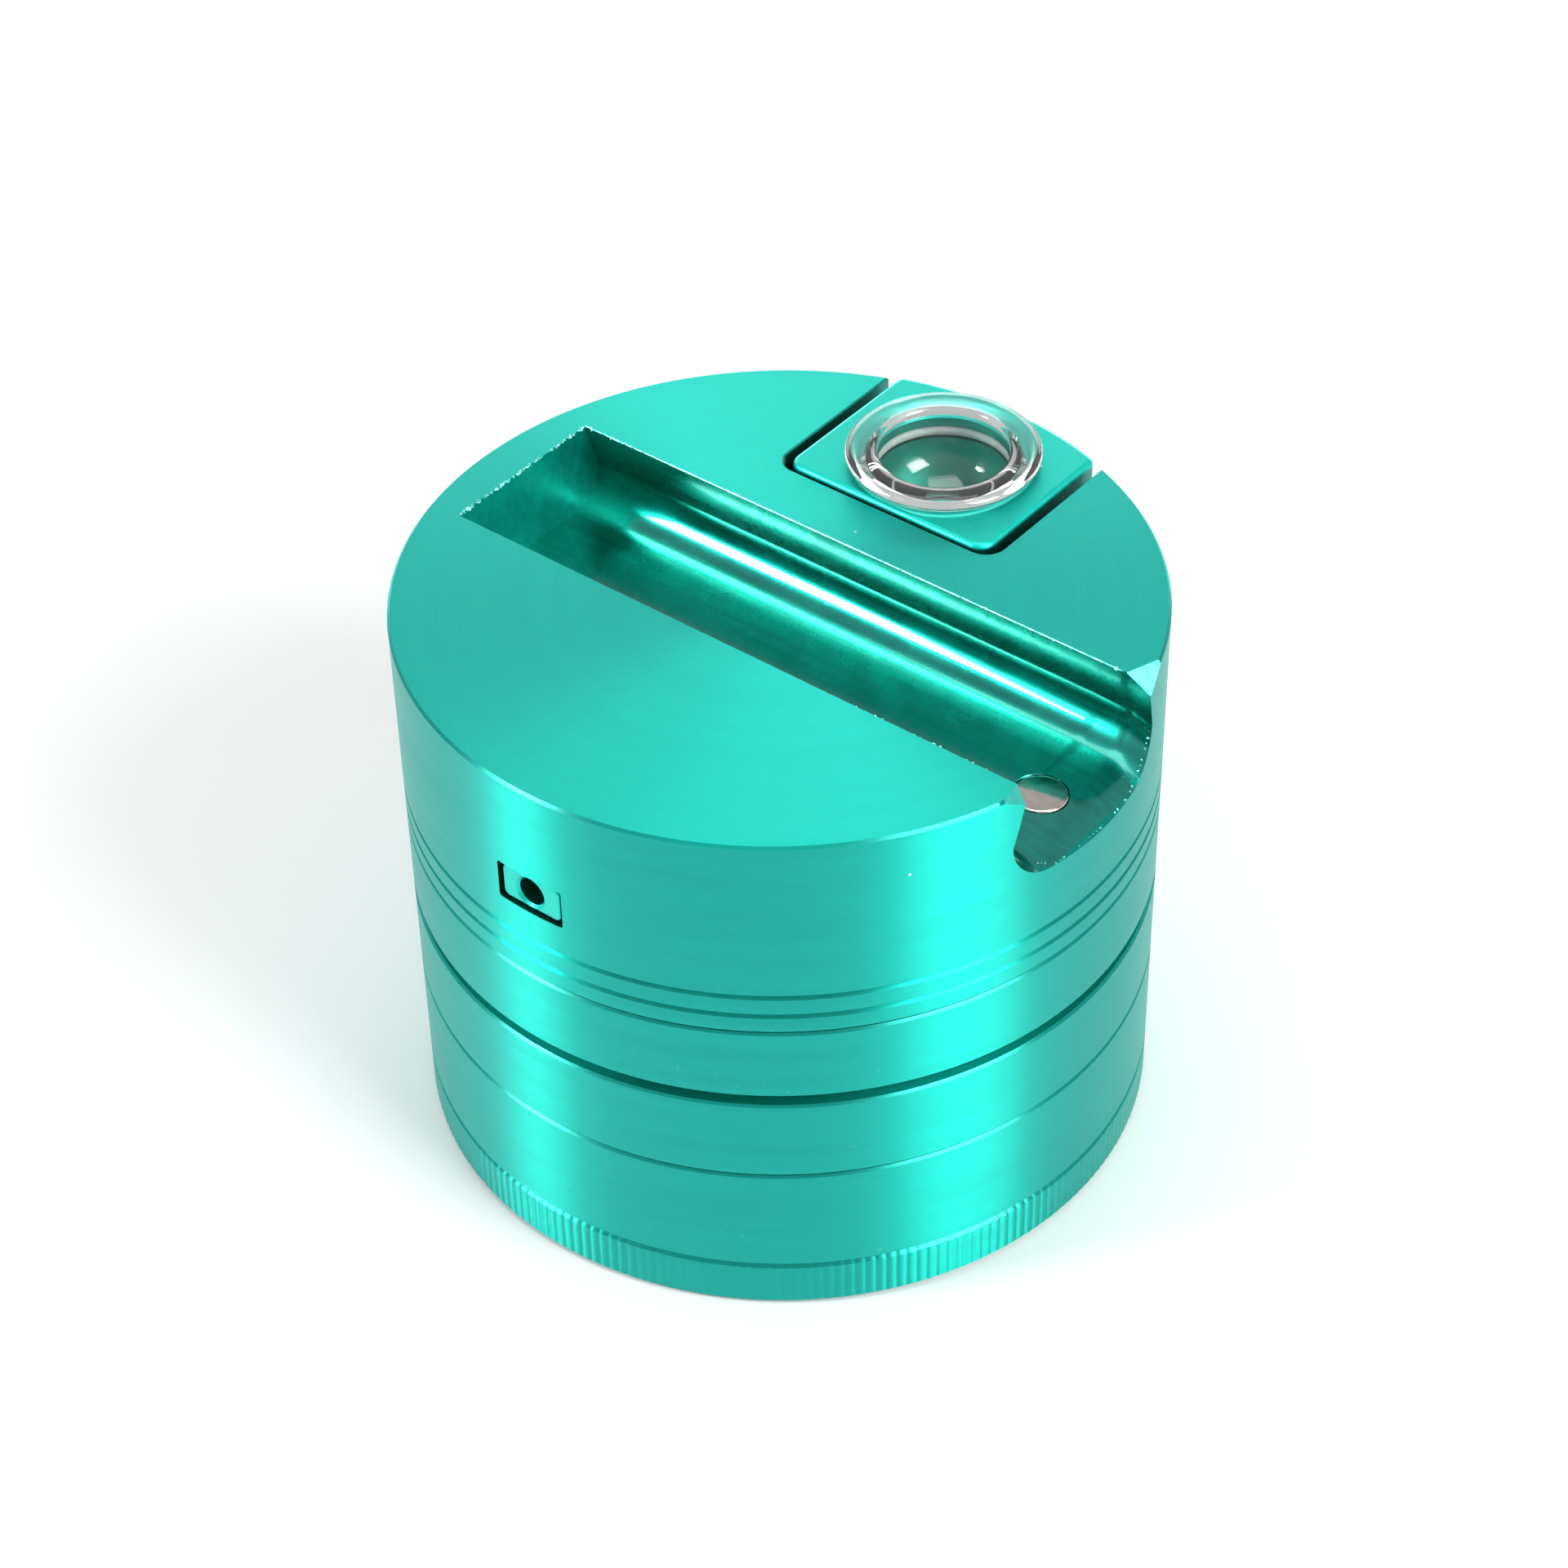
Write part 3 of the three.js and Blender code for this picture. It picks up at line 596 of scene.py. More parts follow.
def knurl_tree():
    """Pushes V notches into the outer wall of a turned ring."""
    tree, given, result = geometry_tree(
        "Coin edge knurl",
        [
            ("Geometry", "Geometry"), ("Notches", "Int", NOTCHES), ("Depth", "Float", NOTCH_DEPTH),
            ("Wall radius", "Float", BODY), ("Material", "Material"),
        ],
    )
    position = add(tree, "GeometryNodeInputPosition").outputs[0]
    xyz = add(tree, "ShaderNodeSeparateXYZ", {0: position}).outputs
    angle = calc(tree, "ARCTAN2", xyz[1], xyz[0])
    flat = vector(tree, "MULTIPLY", position, (1, 1, 0))
    radius = vector(tree, "LENGTH", flat)
    on_wall = calc(tree, "GREATER_THAN", radius, calc(tree, "SUBTRACT", given["Wall radius"], 0.02))
    turns = calc(tree, "DIVIDE", calc(tree, "MULTIPLY", angle, given["Notches"]), 2 * math.pi)
    from_notch = calc(tree, "PINGPONG", turns, 0.5)
    push = calc(tree, "SUBTRACT", 1.0, calc(tree, "MULTIPLY", from_notch, 3.6), clamp=True)
    inward = calc(tree, "MULTIPLY", calc(tree, "MULTIPLY", push, given["Depth"]), -1.0)
    offset = vector(tree, "SCALE", vector(tree, "NORMALIZE", flat), Scale=inward)
    moved = add(
        tree,
        "GeometryNodeSetPosition",
        {"Geometry": given["Geometry"], "Selection": on_wall, "Offset": offset},
    )
    return painted(tree, given, result, moved.outputs[0])


def thread_tree():
    """A V thread: a ridge on a helix, tapering away at both ends."""
    tree, given, result = geometry_tree(
        "Screw thread",
        [
            ("Radius", "Float", SPIGOT), ("Low", "Float", 0.0), ("Pitch", "Float", THREAD_PITCH),
            ("Turns", "Float", 2.0), ("Ridge", "Float", THREAD_RIDGE), ("Material", "Material"),
        ],
    )
    rise = calc(tree, "MULTIPLY", given["Pitch"], given["Turns"])
    helix = add(
        tree,
        "GeometryNodeCurveSpiral",
        {
            "Resolution": 120,
            "Rotations": given["Turns"],
            "Start Radius": given["Radius"],
            "End Radius": given["Radius"],
            "Height": rise,
        },
    )
    upright = add(tree, "GeometryNodeSetCurveNormal", {"Curve": helix.outputs[0]}, mode="Z_UP")
    factor = add(tree, "GeometryNodeSplineParameter").outputs["Factor"]
    from_end = calc(tree, "PINGPONG", factor, 0.5)
    taper = calc(tree, "MINIMUM", calc(tree, "MULTIPLY_ADD", from_end, 12.0, 0.2), 1.0)
    ridge = add(
        tree,
        "GeometryNodeCurveToMesh",
        {
            "Curve": upright.outputs[0],
            "Profile Curve": wire_section(tree, given["Ridge"]),
            "Scale": taper,
            "Fill Caps": True,
        },
    )
    lift = add(tree, "ShaderNodeCombineXYZ", {2: given["Low"]})
    placed = add(
        tree, "GeometryNodeTransform", {"Geometry": ridge.outputs[0], "Translation": lift.outputs[0]}
    )
    return painted(tree, given, result, placed.outputs[0])


def lane_tree():
    """Copies of a mesh round a lane about the Z axis, the first half a step from +X."""
    tree, given, result = geometry_tree(
        "Round a lane",
        [
            ("Geometry", "Geometry"), ("Lane radius", "Float", 20.0), ("Count", "Int", 12),
            ("Material", "Material"),
        ],
    )
    ring = add(tree, "GeometryNodeMeshCircle", {"Vertices": given["Count"], "Radius": given["Lane radius"]})
    half = calc(tree, "DIVIDE", math.pi, given["Count"])
    turn = add(tree, "ShaderNodeCombineXYZ", {2: half})
    shifted = add(
        tree, "GeometryNodeTransform", {"Geometry": ring.outputs[0], "Rotation": turn.outputs[0]}
    )
    position = add(tree, "GeometryNodeInputPosition").outputs[0]
    facing = add(tree, "FunctionNodeAlignRotationToVector", {"Vector": position}, axis="X", pivot_axis="Z")
    copies = add(
        tree,
        "GeometryNodeInstanceOnPoints",
        {"Points": shifted.outputs[0], "Instance": given["Geometry"], "Rotation": facing.outputs[0]},
    )
    return painted(tree, given, result, copies.outputs[0])


def sieve_tree():
    """Plain woven wire cloth, cut to a disc. Each wire goes over one and under the next."""
    tree, given, result = geometry_tree(
        "Woven sieve",
        [
            ("Disc radius", "Float", 26.6), ("Pitch", "Float", 0.8), ("Wire radius", "Float", 0.05),
            ("Height", "Float", 5.35), ("Material", "Material"),
        ],
    )
    across = calc(tree, "DIVIDE", calc(tree, "MULTIPLY", given["Disc radius"], 2.0), given["Pitch"])
    half_count = calc(tree, "FLOOR", calc(tree, "DIVIDE", across, 2.0))
    count = calc(tree, "ADD", calc(tree, "MULTIPLY", half_count, 2.0), 1.0)
    span = calc(tree, "MULTIPLY", calc(tree, "SUBTRACT", count, 1.0), given["Pitch"])
    net = add(
        tree,
        "GeometryNodeMeshGrid",
        {"Size X": span, "Size Y": span, "Vertices X": count, "Vertices Y": count},
    )
    position = add(tree, "GeometryNodeInputPosition").outputs[0]
    outside = calc(tree, "GREATER_THAN", vector(tree, "LENGTH", position), given["Disc radius"])
    disc = add(
        tree, "GeometryNodeDeleteGeometry", {"Geometry": net.outputs[0], "Selection": outside}, domain="POINT"
    )
    ends = add(tree, "GeometryNodeInputMeshEdgeVertices").outputs
    apart = vector(tree, "SUBTRACT", ends["Position 1"], ends["Position 2"])
    lean = add(tree, "ShaderNodeSeparateXYZ", {0: apart}).outputs
    xyz = add(tree, "ShaderNodeSeparateXYZ", {0: position}).outputs
    steps = [calc(tree, "ROUND", calc(tree, "DIVIDE", xyz[i], given["Pitch"])) for i in (0, 1)]
    odd = calc(tree, "FLOORED_MODULO", calc(tree, "ADD", *steps), 2.0)
    over_under = calc(tree, "MULTIPLY", calc(tree, "SUBTRACT", odd, 0.5), 2.0)
    section = wire_section(tree, given["Wire radius"])
    wires = []
    for axis, side in ((0, 1.0), (1, -1.0)):
        along = calc(tree, "GREATER_THAN", calc(tree, "ABSOLUTE", lean[axis]), 0.01)
        lines = add(tree, "GeometryNodeMeshToCurve", {"Mesh": disc.outputs[0], "Selection": along})
        rise = calc(tree, "MULTIPLY", calc(tree, "MULTIPLY", over_under, given["Wire radius"]), side)
        offset = add(tree, "ShaderNodeCombineXYZ", {2: calc(tree, "ADD", rise, given["Height"])})
        moves = {"Geometry": lines.outputs[0], "Offset": offset.outputs[0]}
        bent = add(tree, "GeometryNodeSetPosition", moves)
        wire = add(
            tree,
            "GeometryNodeCurveToMesh",
            {"Curve": bent.outputs[0], "Profile Curve": section, "Fill Caps": True},
        )
        wires.append(wire.outputs[0])
    cloth = add(tree, "GeometryNodeJoinGeometry")
    for wire in wires:
        tree.links.new(wire, cloth.inputs[0])
    return painted(tree, given, result, cloth.outputs[0])


def burr_tree():
    """Small bright flakes left here and there along an edge line."""
    tree, given, result = geometry_tree(
        "Burrs on an edge",
        [
            ("Geometry", "Geometry"), ("Spacing", "Float", 0.3), ("Share", "Float", 0.3),
            ("Size", "Float", 0.12), ("Seed", "Int", 3), ("Material", "Material"),
        ],
    )
    edge = add(tree, "GeometryNodeMeshToCurve", {"Mesh": given["Geometry"]})

    def any_between(low, high, seed_step):
        seed = calc(tree, "ADD", given["Seed"], seed_step)
        node = add(
            tree, "FunctionNodeRandomValue", {0: low, 1: high, "Seed": seed}, data_type="FLOAT_VECTOR"
        )
        return node.outputs[0]

    points = add(
        tree,
        "GeometryNodeCurveToPoints",
        {"Curve": edge.outputs[0], "Length": given["Spacing"]},
        mode="LENGTH",
    )
    chosen = add(
        tree,
        "FunctionNodeRandomValue",
        {"Probability": given["Share"], "Seed": given["Seed"]},
        data_type="BOOLEAN",
    )
    flake = add(tree, "GeometryNodeMeshIcoSphere", {"Radius": given["Size"], "Subdivisions": 1})
    flakes = add(
        tree,
        "GeometryNodeInstanceOnPoints",
        {
            "Points": points.outputs[0],
            "Selection": chosen.outputs[3],
            "Instance": flake.outputs[0],
            "Rotation": any_between((-0.6, -0.6, -3.1), (0.6, 0.6, 3.1), 2.0),
            "Scale": any_between((0.3, 0.3, 0.15), (1.5, 1.5, 0.5), 1.0),
        },
    )
    real = add(tree, "GeometryNodeRealizeInstances", {"Geometry": flakes.outputs[0]})
    where = add(tree, "GeometryNodeInputPosition").outputs[0]
    uneven = add(tree, "ShaderNodeTexNoise", {"Vector": where, "Scale": 9.0, "Detail": 1.0})
    centred = vector(tree, "SUBTRACT", uneven.outputs["Color"], (0.5, 0.5, 0.5))
    pushed = vector(tree, "SCALE", centred, Scale=given["Size"])
    ragged = add(tree, "GeometryNodeSetPosition", {"Geometry": real.outputs[0], "Offset": pushed})
    return painted(tree, given, result, ragged.outputs[0])


KNURL = knurl_tree()
BURRS = burr_tree()
THREAD = thread_tree()
LANE = lane_tree()
SIEVE = sieve_tree()


# ---- The turned stack ----
def wall_or_face(centre, normal):
    """0 for a turned wall, 1 for a faced surface."""
    return 1 if abs(normal.z) > 0.9 else 0


def outer_wall(low, high, broken=0.2):
    return [[BODY - broken, low], [BODY, low + broken], [BODY, high - broken], [BODY - broken, high]]


def thread(radius, low, turns):
    return grown(
        THREAD, Radius=radius, Low=low, Pitch=THREAD_PITCH, Turns=turns, Ridge=THREAD_RIDGE, Material=SIDE
    )


def kief_catcher():
    profile = [
        [0, 0], [BODY - 0.5, 0], [BODY, 0.5], *[[BODY, z] for z in (1.4, 2.4, 3.4)],
        [BODY, CATCHER_TOP - 0.3], [BODY - 0.3, CATCHER_TOP], [SOCKET + 0.2, CATCHER_TOP],
        [SOCKET, CATCHER_TOP - 0.2], [SOCKET, 1.8], *arc(SOCKET - 0.8, 1.8, 0.8, 0, -90, 5), [0, 1.0],
    ]
    blank = turned(profile, NOTCHES * STEPS_PER_NOTCH)
    mesh = grown(
        KNURL, blank, **{"Notches": NOTCHES, "Depth": NOTCH_DEPTH, "Wall radius": BODY, "Material": SIDE}
    )
    piece("kief_catcher_knurled", mesh, "catcher", [SIDE, FACE_PAINTED_LIGHT], ["kief_catcher"], wall_or_face)
    inside = thread(SOCKET + 0.1, 2.2, 1.6)
    piece("catcher_thread", inside, "catcher", [SIDE])


def storage_ring():
    low = CATCHER_TOP + SEAM
    profile = [
        [SPIGOT_INNER, 2.3], [SPIGOT - 0.2, 2.3], [SPIGOT, 2.5], [SPIGOT, low],
        *outer_wall(low, STORAGE_TOP), [SOCKET + 0.2, STORAGE_TOP], [SOCKET, STORAGE_TOP - 0.2],
        [SOCKET, 11.1], [27.0, 11.1], [27.0, 5.2], [SPIGOT_INNER, 5.2],
    ]
    ring = turned(profile)
    piece("storage_ring", ring, "storage", [SIDE, FACE_PAINTED_LIGHT], ["storage_chamber"], wall_or_face)
    threads = joined_meshes([thread(SPIGOT - 0.1, 2.75, 1.2), thread(SOCKET + 0.1, 11.5, 2.2)])
    piece("storage_threads", threads, "storage", [SIDE])


def sieve():
    cloth = grown(
        SIEVE,
        **{"Disc radius": 26.6, "Pitch": 0.8, "Wire radius": 0.05, "Height": 5.35, "Material": STEEL},
    )
    piece("sieve_cloth", cloth, "storage", [STEEL], ["sieve_mesh"])
    profile = [
        [25.3, 5.5], [26.7, 5.5], [26.8, 5.6], [26.8, 6.9], [26.7, 7.0], [25.3, 7.0], [25.2, 6.9],
        [25.2, 5.6],
    ]
    piece("sieve_clamp_ring", turned(profile), "storage", [STEEL], ["sieve_ring"])


def tooth(low, high):
    """A diamond tooth from its root at low to its narrower end at high, which may be below."""
    plan = [(1.6, 0), (0, 2.5), (-1.6, 0), (0, -2.5)]
    shoulder = high - math.copysign(0.2, high - low)
    levels = [(low, 1.0), (shoulder, 0.94), (high, 0.82)]
    return lofted([[(x * s, y * s, z) for x, y in plan] for z, s in levels])


def round_lanes(make, lanes):
    """Meshes that stand round the Z axis, by lane: (radius, count)."""
    return [
        grown(LANE, make(), **{"Lane radius": radius, "Count": count, "Material": SIDE})
        for radius, count in lanes
    ]


def grinding_chamber():
    shoulder = STORAGE_TOP + SEAM
    profile = [
        [0, 14.4], [SPIGOT_INNER, 14.4], [SPIGOT_INNER, 11.6], [SPIGOT - 0.2, 11.6], [SPIGOT, 11.8],
        [SPIGOT, shoulder], *outer_wall(shoulder, CHAMBER_TOP), [28.6, CHAMBER_TOP],
        [28.4, CHAMBER_TOP - 0.2], [28.4, 17.1], [28.1, 16.8], [5.4, 16.8], [5.2, 17.0], [5.2, 19.4],
        [5.0, 19.6], [4.1, 19.6], [4.1, 17.5], [0, 17.5],
    ]
    hole = lambda: turned([[0, 12.0], [1.8, 12.0], [1.8, 16.6], [2.1, 17.0], [2.1, 18.0], [0, 18.0]], 24)
    mesh = carved(
        turned(profile),
        round_lanes(lambda: tooth(16.5, 22.4), [(23.2, 16), (15.4, 8)]),
        round_lanes(hole, [(19.3, 18), (11.5, 11)]),
    )
    node = "grinding_chamber"
    piece(node + "_toothed", mesh, "chamber", [SIDE, FACE_PAINTED_LIGHT], [node], wall_or_face)
    piece("chamber_thread", thread(SPIGOT - 0.1, 12.1, 2.2), "chamber", [SIDE])


def slick_ring():
    low, high = CHAMBER_TOP + 0.05, LID_LOW - 0.05
    profile = [
        [28.5, low], [29.75, low], *arc(29.75, low + 0.15, 0.15, -90, 0, 3)[1:],
        *arc(29.75, high - 0.15, 0.15, 0, 90, 3), [28.5, high], [28.4, high - 0.1], [28.4, low + 0.1],
    ]
    piece("slick_plastic_ring", turned(profile), "slick_ring", [SLICK_WITH_PAINTED_REFLECTION], ["friction_ring"])


def tooth_lid():
    profile = [
        [0, 22.3], [4.1, 22.3], [4.1, 20.2], [5.0, 20.2], [5.2, 20.4], [5.2, 25.0], [26.4, 25.0],
        [26.4, 22.1], [26.6, 21.9], [27.9, 21.9], [28.1, 22.1], [28.1, LID_LOW],
        *outer_wall(LID_LOW, LID_TOP), [SOCKET + 0.2, LID_TOP], [SOCKET, LID_TOP - 0.2], [SOCKET, 27.6],
        [0, 27.6],
    ]
    mesh = carved(turned(profile), round_lanes(lambda: tooth(25.3, 17.4), [(19.3, 12), (11.5, 8)]))
    piece("tooth_lid_turned", mesh, "lid", [SIDE, FACE_PAINTED_LIGHT], ["tooth_lid"], wall_or_face)
    piece("lid_thread", thread(SOCKET + 0.1, 28.2, 2.0), "lid", [SIDE])


def magnet(name, node, body, radius, low, high, x=0.0):
    """A plated disc magnet with rounded edges, standing upright."""
    r = 0.18
    profile = [
        [0, low], *arc(radius - r, low + r, r, -90, 0, 4), *arc(radius - r, high - r, r, 0, 90, 4),
        [0, high],
    ]
    piece(name, turned(profile, 96, (x, 0)), body, [NICKEL], [node])


def catch_magnets():
    """The discs in the notch's wall and in the pipe head, which hold the pipe shut."""
    for side_name, side in (("left", -1), ("right", 1)):
        for owner, start in (("tray", 11.55), ("pipe", HEAD_INNER)):
            profile = [[0, 0], *arc(1.38, 0.12, 0.12, -90, 0, 3), *arc(1.38, 1.88, 0.12, 0, 90, 3), [0, 2]]
            disc = turned(profile, 64)
            place = Matrix.Translation((side * CATCH_X, start, CATCH_Z))
            disc.transform(place @ Matrix.Rotation(-math.pi / 2, 4, "X"))
            node = f"{owner}_catch_magnet_{side_name}"
            piece(node + "_disc", disc, owner, [NICKEL], [node])


# ---- Tray body ----
def groove(middle):
    bottom = BODY - 0.3
    return [[BODY, middle - 0.25], [bottom, middle - 0.03], [bottom, middle + 0.03], [BODY, middle + 0.25]]


def trough_section(x, edge, widen=0.0, drop=0.0):
    """The trough's outline (y, z) at x. edge is how far its top edges are broken."""
    overrun, undercut = 2.0, 1.35
    middle = TROUGH_FLOOR + TROUGH_FILLET - drop
    right = [[TROUGH_HALF + edge, TRAY_TOP + overrun], [TROUGH_HALF + edge, TRAY_TOP]]
    for down in (0.0, 0.2, 0.4, 0.6, 0.8):
        y = TROUGH_HALF + undercut * down + widen + (0.1 * edge if down == 0 else 0)
        right.append([y, TRAY_TOP - edge - (TRAY_TOP - edge - middle) * down])
    right += arc(TROUGH_FLOOR_HALF + widen, middle, TROUGH_FILLET, 0, -90, 14)
    return [(x, y, z) for y, z in right] + [(x, -y, z) for y, z in reversed(right)]


def trough_cutter():
    """The trough, cut by a ball-ended cutter. Its top edges are slightly ragged.

    Past the tool mark it is a hair wider, and at the rim its floor falls away."""
    rings = []
    stations = [TROUGH_END + 0.4 * i for i in range(154)] + [TOOL_MARK + 0.03]
    for x in sorted(stations):
        ragged = noise.noise(Vector((x * 1.9, 3.1, 0.4))) + 0.6 * noise.noise(Vector((x * 5.3, 7.7, 2.0)))
        past = x - LIP_START
        drop = LIP_SLOPE * (past + math.hypot(past, 1.2)) / 2 if past > -4 else 0.0
        widen = 0.05 if x > TOOL_MARK else 0.0
        rings.append(trough_section(x, 0.04 + 0.05 * abs(ragged), widen, drop))
    return lofted(rings)


def mouth_facet(side, setback, spread, depth):
    """A block whose face cuts the corner between the trough's wall, the top and the rim."""
    corner_x = math.sqrt(BODY ** 2 - TROUGH_HALF ** 2)
    rim_y = TROUGH_HALF + spread
    on_edge = Vector((corner_x - setback, side * TROUGH_HALF, TRAY_TOP))
    on_rim = Vector((math.sqrt(BODY ** 2 - rim_y ** 2), side * rim_y, TRAY_TOP))
    below = Vector((corner_x, side * TROUGH_HALF, TRAY_TOP - depth))
    out = (on_rim - on_edge).cross(below - on_edge).normalized()
    if out.z < 0:
        out.negate()
    size = 6.0
    cutter = block((-size, -size, 0), (size, size, 2 * size))
    turn = Vector((0, 0, 1)).rotation_difference(out).to_matrix().to_4x4()
    cutter.transform(Matrix.Translation(on_edge) @ turn)
    return cutter


def rounded_plan(half_x, y0, y1, corner, steps=10):
    """A rounded rectangle's outline as (x, y, normal x, normal y)."""
    points = []
    for cx, cy, start in (
        (half_x - corner, y0 + corner, -90),
        (half_x - corner, y1 - corner, 0),
        (-half_x + corner, y1 - corner, 90),
        (-half_x + corner, y0 + corner, 180),
    ):
        for i in range(steps + 1):
            a = math.radians(start + 90 * i / steps)
            points.append((cx + corner * math.cos(a), cy + corner * math.sin(a), math.cos(a), math.sin(a)))
    return points


def standing(plan, levels):
    """A solid with the plan's outline, drawn in by an inset at each level: (z, inset)."""
    return lofted([[(x - nx * inset, y - ny * inset, z) for x, y, nx, ny in plan] for z, inset in levels])


def tray_rule(centre, normal):
    """0 outer wall, 1 faced top, 2 trough, 3 milled pocket, 4 the trough's end wall, 5 a cut corner."""
    radius = math.hypot(centre.x, centre.y)
    beside_mouth = centre.x > 26.0 and abs(centre.y) > TROUGH_HALF - 0.1 and centre.z > 48.0
    if beside_mouth and 0.15 < normal.z < 0.9 and radius < BODY - 0.15:
        return 5
    faces_out = normal.x * centre.x + normal.y * centre.y > 0.3 * radius
    if radius > BODY - 0.45 and abs(normal.z) < 0.95 and faces_out:
        return 0
    if centre.z > TRAY_TOP - 0.02 and normal.z > 0.9:
        return 1
    if centre.x > TROUGH_END - 0.2 and abs(centre.y) < 9.6 and centre.z > 40.2:
        return 4 if centre.x < TROUGH_END + 0.05 else 2
    if centre.z < 35.5:
        return 1 if abs(normal.z) > 0.9 else 0
    return 3


def trough_burrs():
    """Flakes along the trough's top edges and round its mouth.

    Each path is its points, spacing, share, size and seed."""
    z = TRAY_TOP - 0.03
    end, half, far = TROUGH_END, TROUGH_HALF, TROUGH_HALF + 0.04
    mouth = []
    for y in (-8.9, -7.0, -5.0, -2.5, 0.0, 2.5, 5.0, 7.4, 8.9, 9.2):
        low = 41.0 if abs(y) < 6 else 41.0 + (abs(y) - 6) * 1.2
        mouth.append((math.sqrt(BODY ** 2 - y ** 2) - 0.1, y, low))
    paths = [
        ([(end, -half, z), (end, half, z)], 0.27, 0.7, 0.19, 4),
        ([(end, -half, z), (end, -5.6, z)], 0.5, 0.7, 0.3, 2),
        ([(end, far, z), (-21.0, far, z)], 0.35, 0.6, 0.2, 9),
        ([(2.0, far, z), (28.5, far, z)], 0.6, 0.3, 0.15, 5),
        ([(14.0, -far, z), (28.9, -far, z)], 0.6, 0.3, 0.12, 6),
        (mouth, 0.45, 0.5, 0.11, 8),
    ]
    parts = []
    for points, spacing, share, size, seed in paths:
        line = bpy.data.meshes.new("edge_line")
        line.from_pydata(points, [(i, i + 1) for i in range(len(points) - 1)], [])
        parts.append(grown(BURRS, line, Spacing=spacing, Share=share, Size=size, Seed=seed, Material=BURR_PAINTED_GLINT))
    return joined_meshes(parts)


def tray_body():
    shoulder = LID_TOP + SEAM
    profile = [
        [0, 35.0], [24.6, 35.0], [24.6, 28.1], [SPIGOT - 0.2, 28.1], [SPIGOT, 28.3], [SPIGOT, shoulder],
        [BODY - 0.2, shoulder], [BODY, shoulder + 0.2], *groove(32.9), *groove(34.85),
        [BODY, TRAY_TOP - 0.22], [BODY - 0.22, TRAY_TOP], [0, TRAY_TOP],
    ]
    notch_levels = [(37.0, 0), (TRAY_TOP - 0.12, 0), (TRAY_TOP, -0.12), (53.0, -0.12)]
    notch = standing(rounded_plan(11.2, 13.55, 36.0, 1.8), notch_levels)
    channel_plan = rounded_plan(3.25, 37.9, 41.55, 0.25, 4)
    channel = lofted([[(x, y, z) for x, z, _, _ in channel_plan] for y in (-34.0, 16.0)])
    pocket_profile = [[0, 40.5], [2.35, 40.5], [2.35, 42.0], [2.5, 42.25], [2.5, 44.0], [0, 44.0]]
    pocket = turned(pocket_profile, 64, (26.0, 0))
    catches = [lying_rod(CATCH_POCKET, side * CATCH_X, CATCH_Z, 11.45, 16.0) for side in (-1, 1)]
    mesh = carved(
        turned(profile),
        cut=[
            trough_cutter(), mouth_facet(1, 2.2, 3.2, 1.9), mouth_facet(-1, 1.2, 2.6, 1.5), notch,
            channel, pocket, *catches,
        ],
    )
    surfaces = [SIDE, FACE_PAINTED_LIGHT, TROUGH_PAINTED_SHADE, POCKET_PAINTED_SHADE, END_WALL, CUT_EDGE]
    piece("tray_body_milled", mesh, "tray", surfaces, ["tray_body"], tray_rule)
    piece("tray_thread", thread(SPIGOT - 0.1, 28.75, 1.6), "tray", [SIDE])
    piece("trough_edge_burrs", trough_burrs(), "tray", [BURR_PAINTED_GLINT], smooth=False)


# ---- Pipe ----
def head_plan():
    """The head's outline: rounded inner corners, and the body's own curve outside."""
    corner, outer_corner, steps = 1.5, 0.9, 10
    points = []

    def sweep(cx, cy, radius, start, end, count):
        for i in range(count + 1):
            a = math.radians(start + (end - start) * i / count)
            points.append((cx + radius * math.cos(a), cy + radius * math.sin(a), math.cos(a), math.sin(a)))

    inner_x, inner_y = HEAD_HALF - corner, HEAD_INNER + corner
    outer_x = HEAD_HALF - outer_corner
    outer_y = math.sqrt((BODY - outer_corner) ** 2 - outer_x ** 2)
    lean = math.degrees(math.atan2(outer_y, outer_x))
    sweep(inner_x, inner_y, corner, -90, 0, steps)
    sweep(outer_x, outer_y, outer_corner, 0, lean, steps)
    sweep(0, 0, BODY, lean, 180 - lean, 40)
    sweep(-outer_x, outer_y, outer_corner, 180 - lean, 180, steps)
    sweep(-inner_x, inner_y, corner, 180, 270, steps)
    return points


def head_rule(centre, normal):
    """0 satin top and bowl bore, 1 the wall on the rim, 2 milled pocket."""
    in_bowl_bore = math.hypot(centre.x, centre.y - BOWL_Y) < 7.0 and centre.z > 43.0
    if in_bowl_bore or (centre.z > HEAD_TOP - 0.6 and normal.z > 0.02):
        return 0
    return 1 if math.hypot(centre.x, centre.y) > BODY - 0.2 else 2


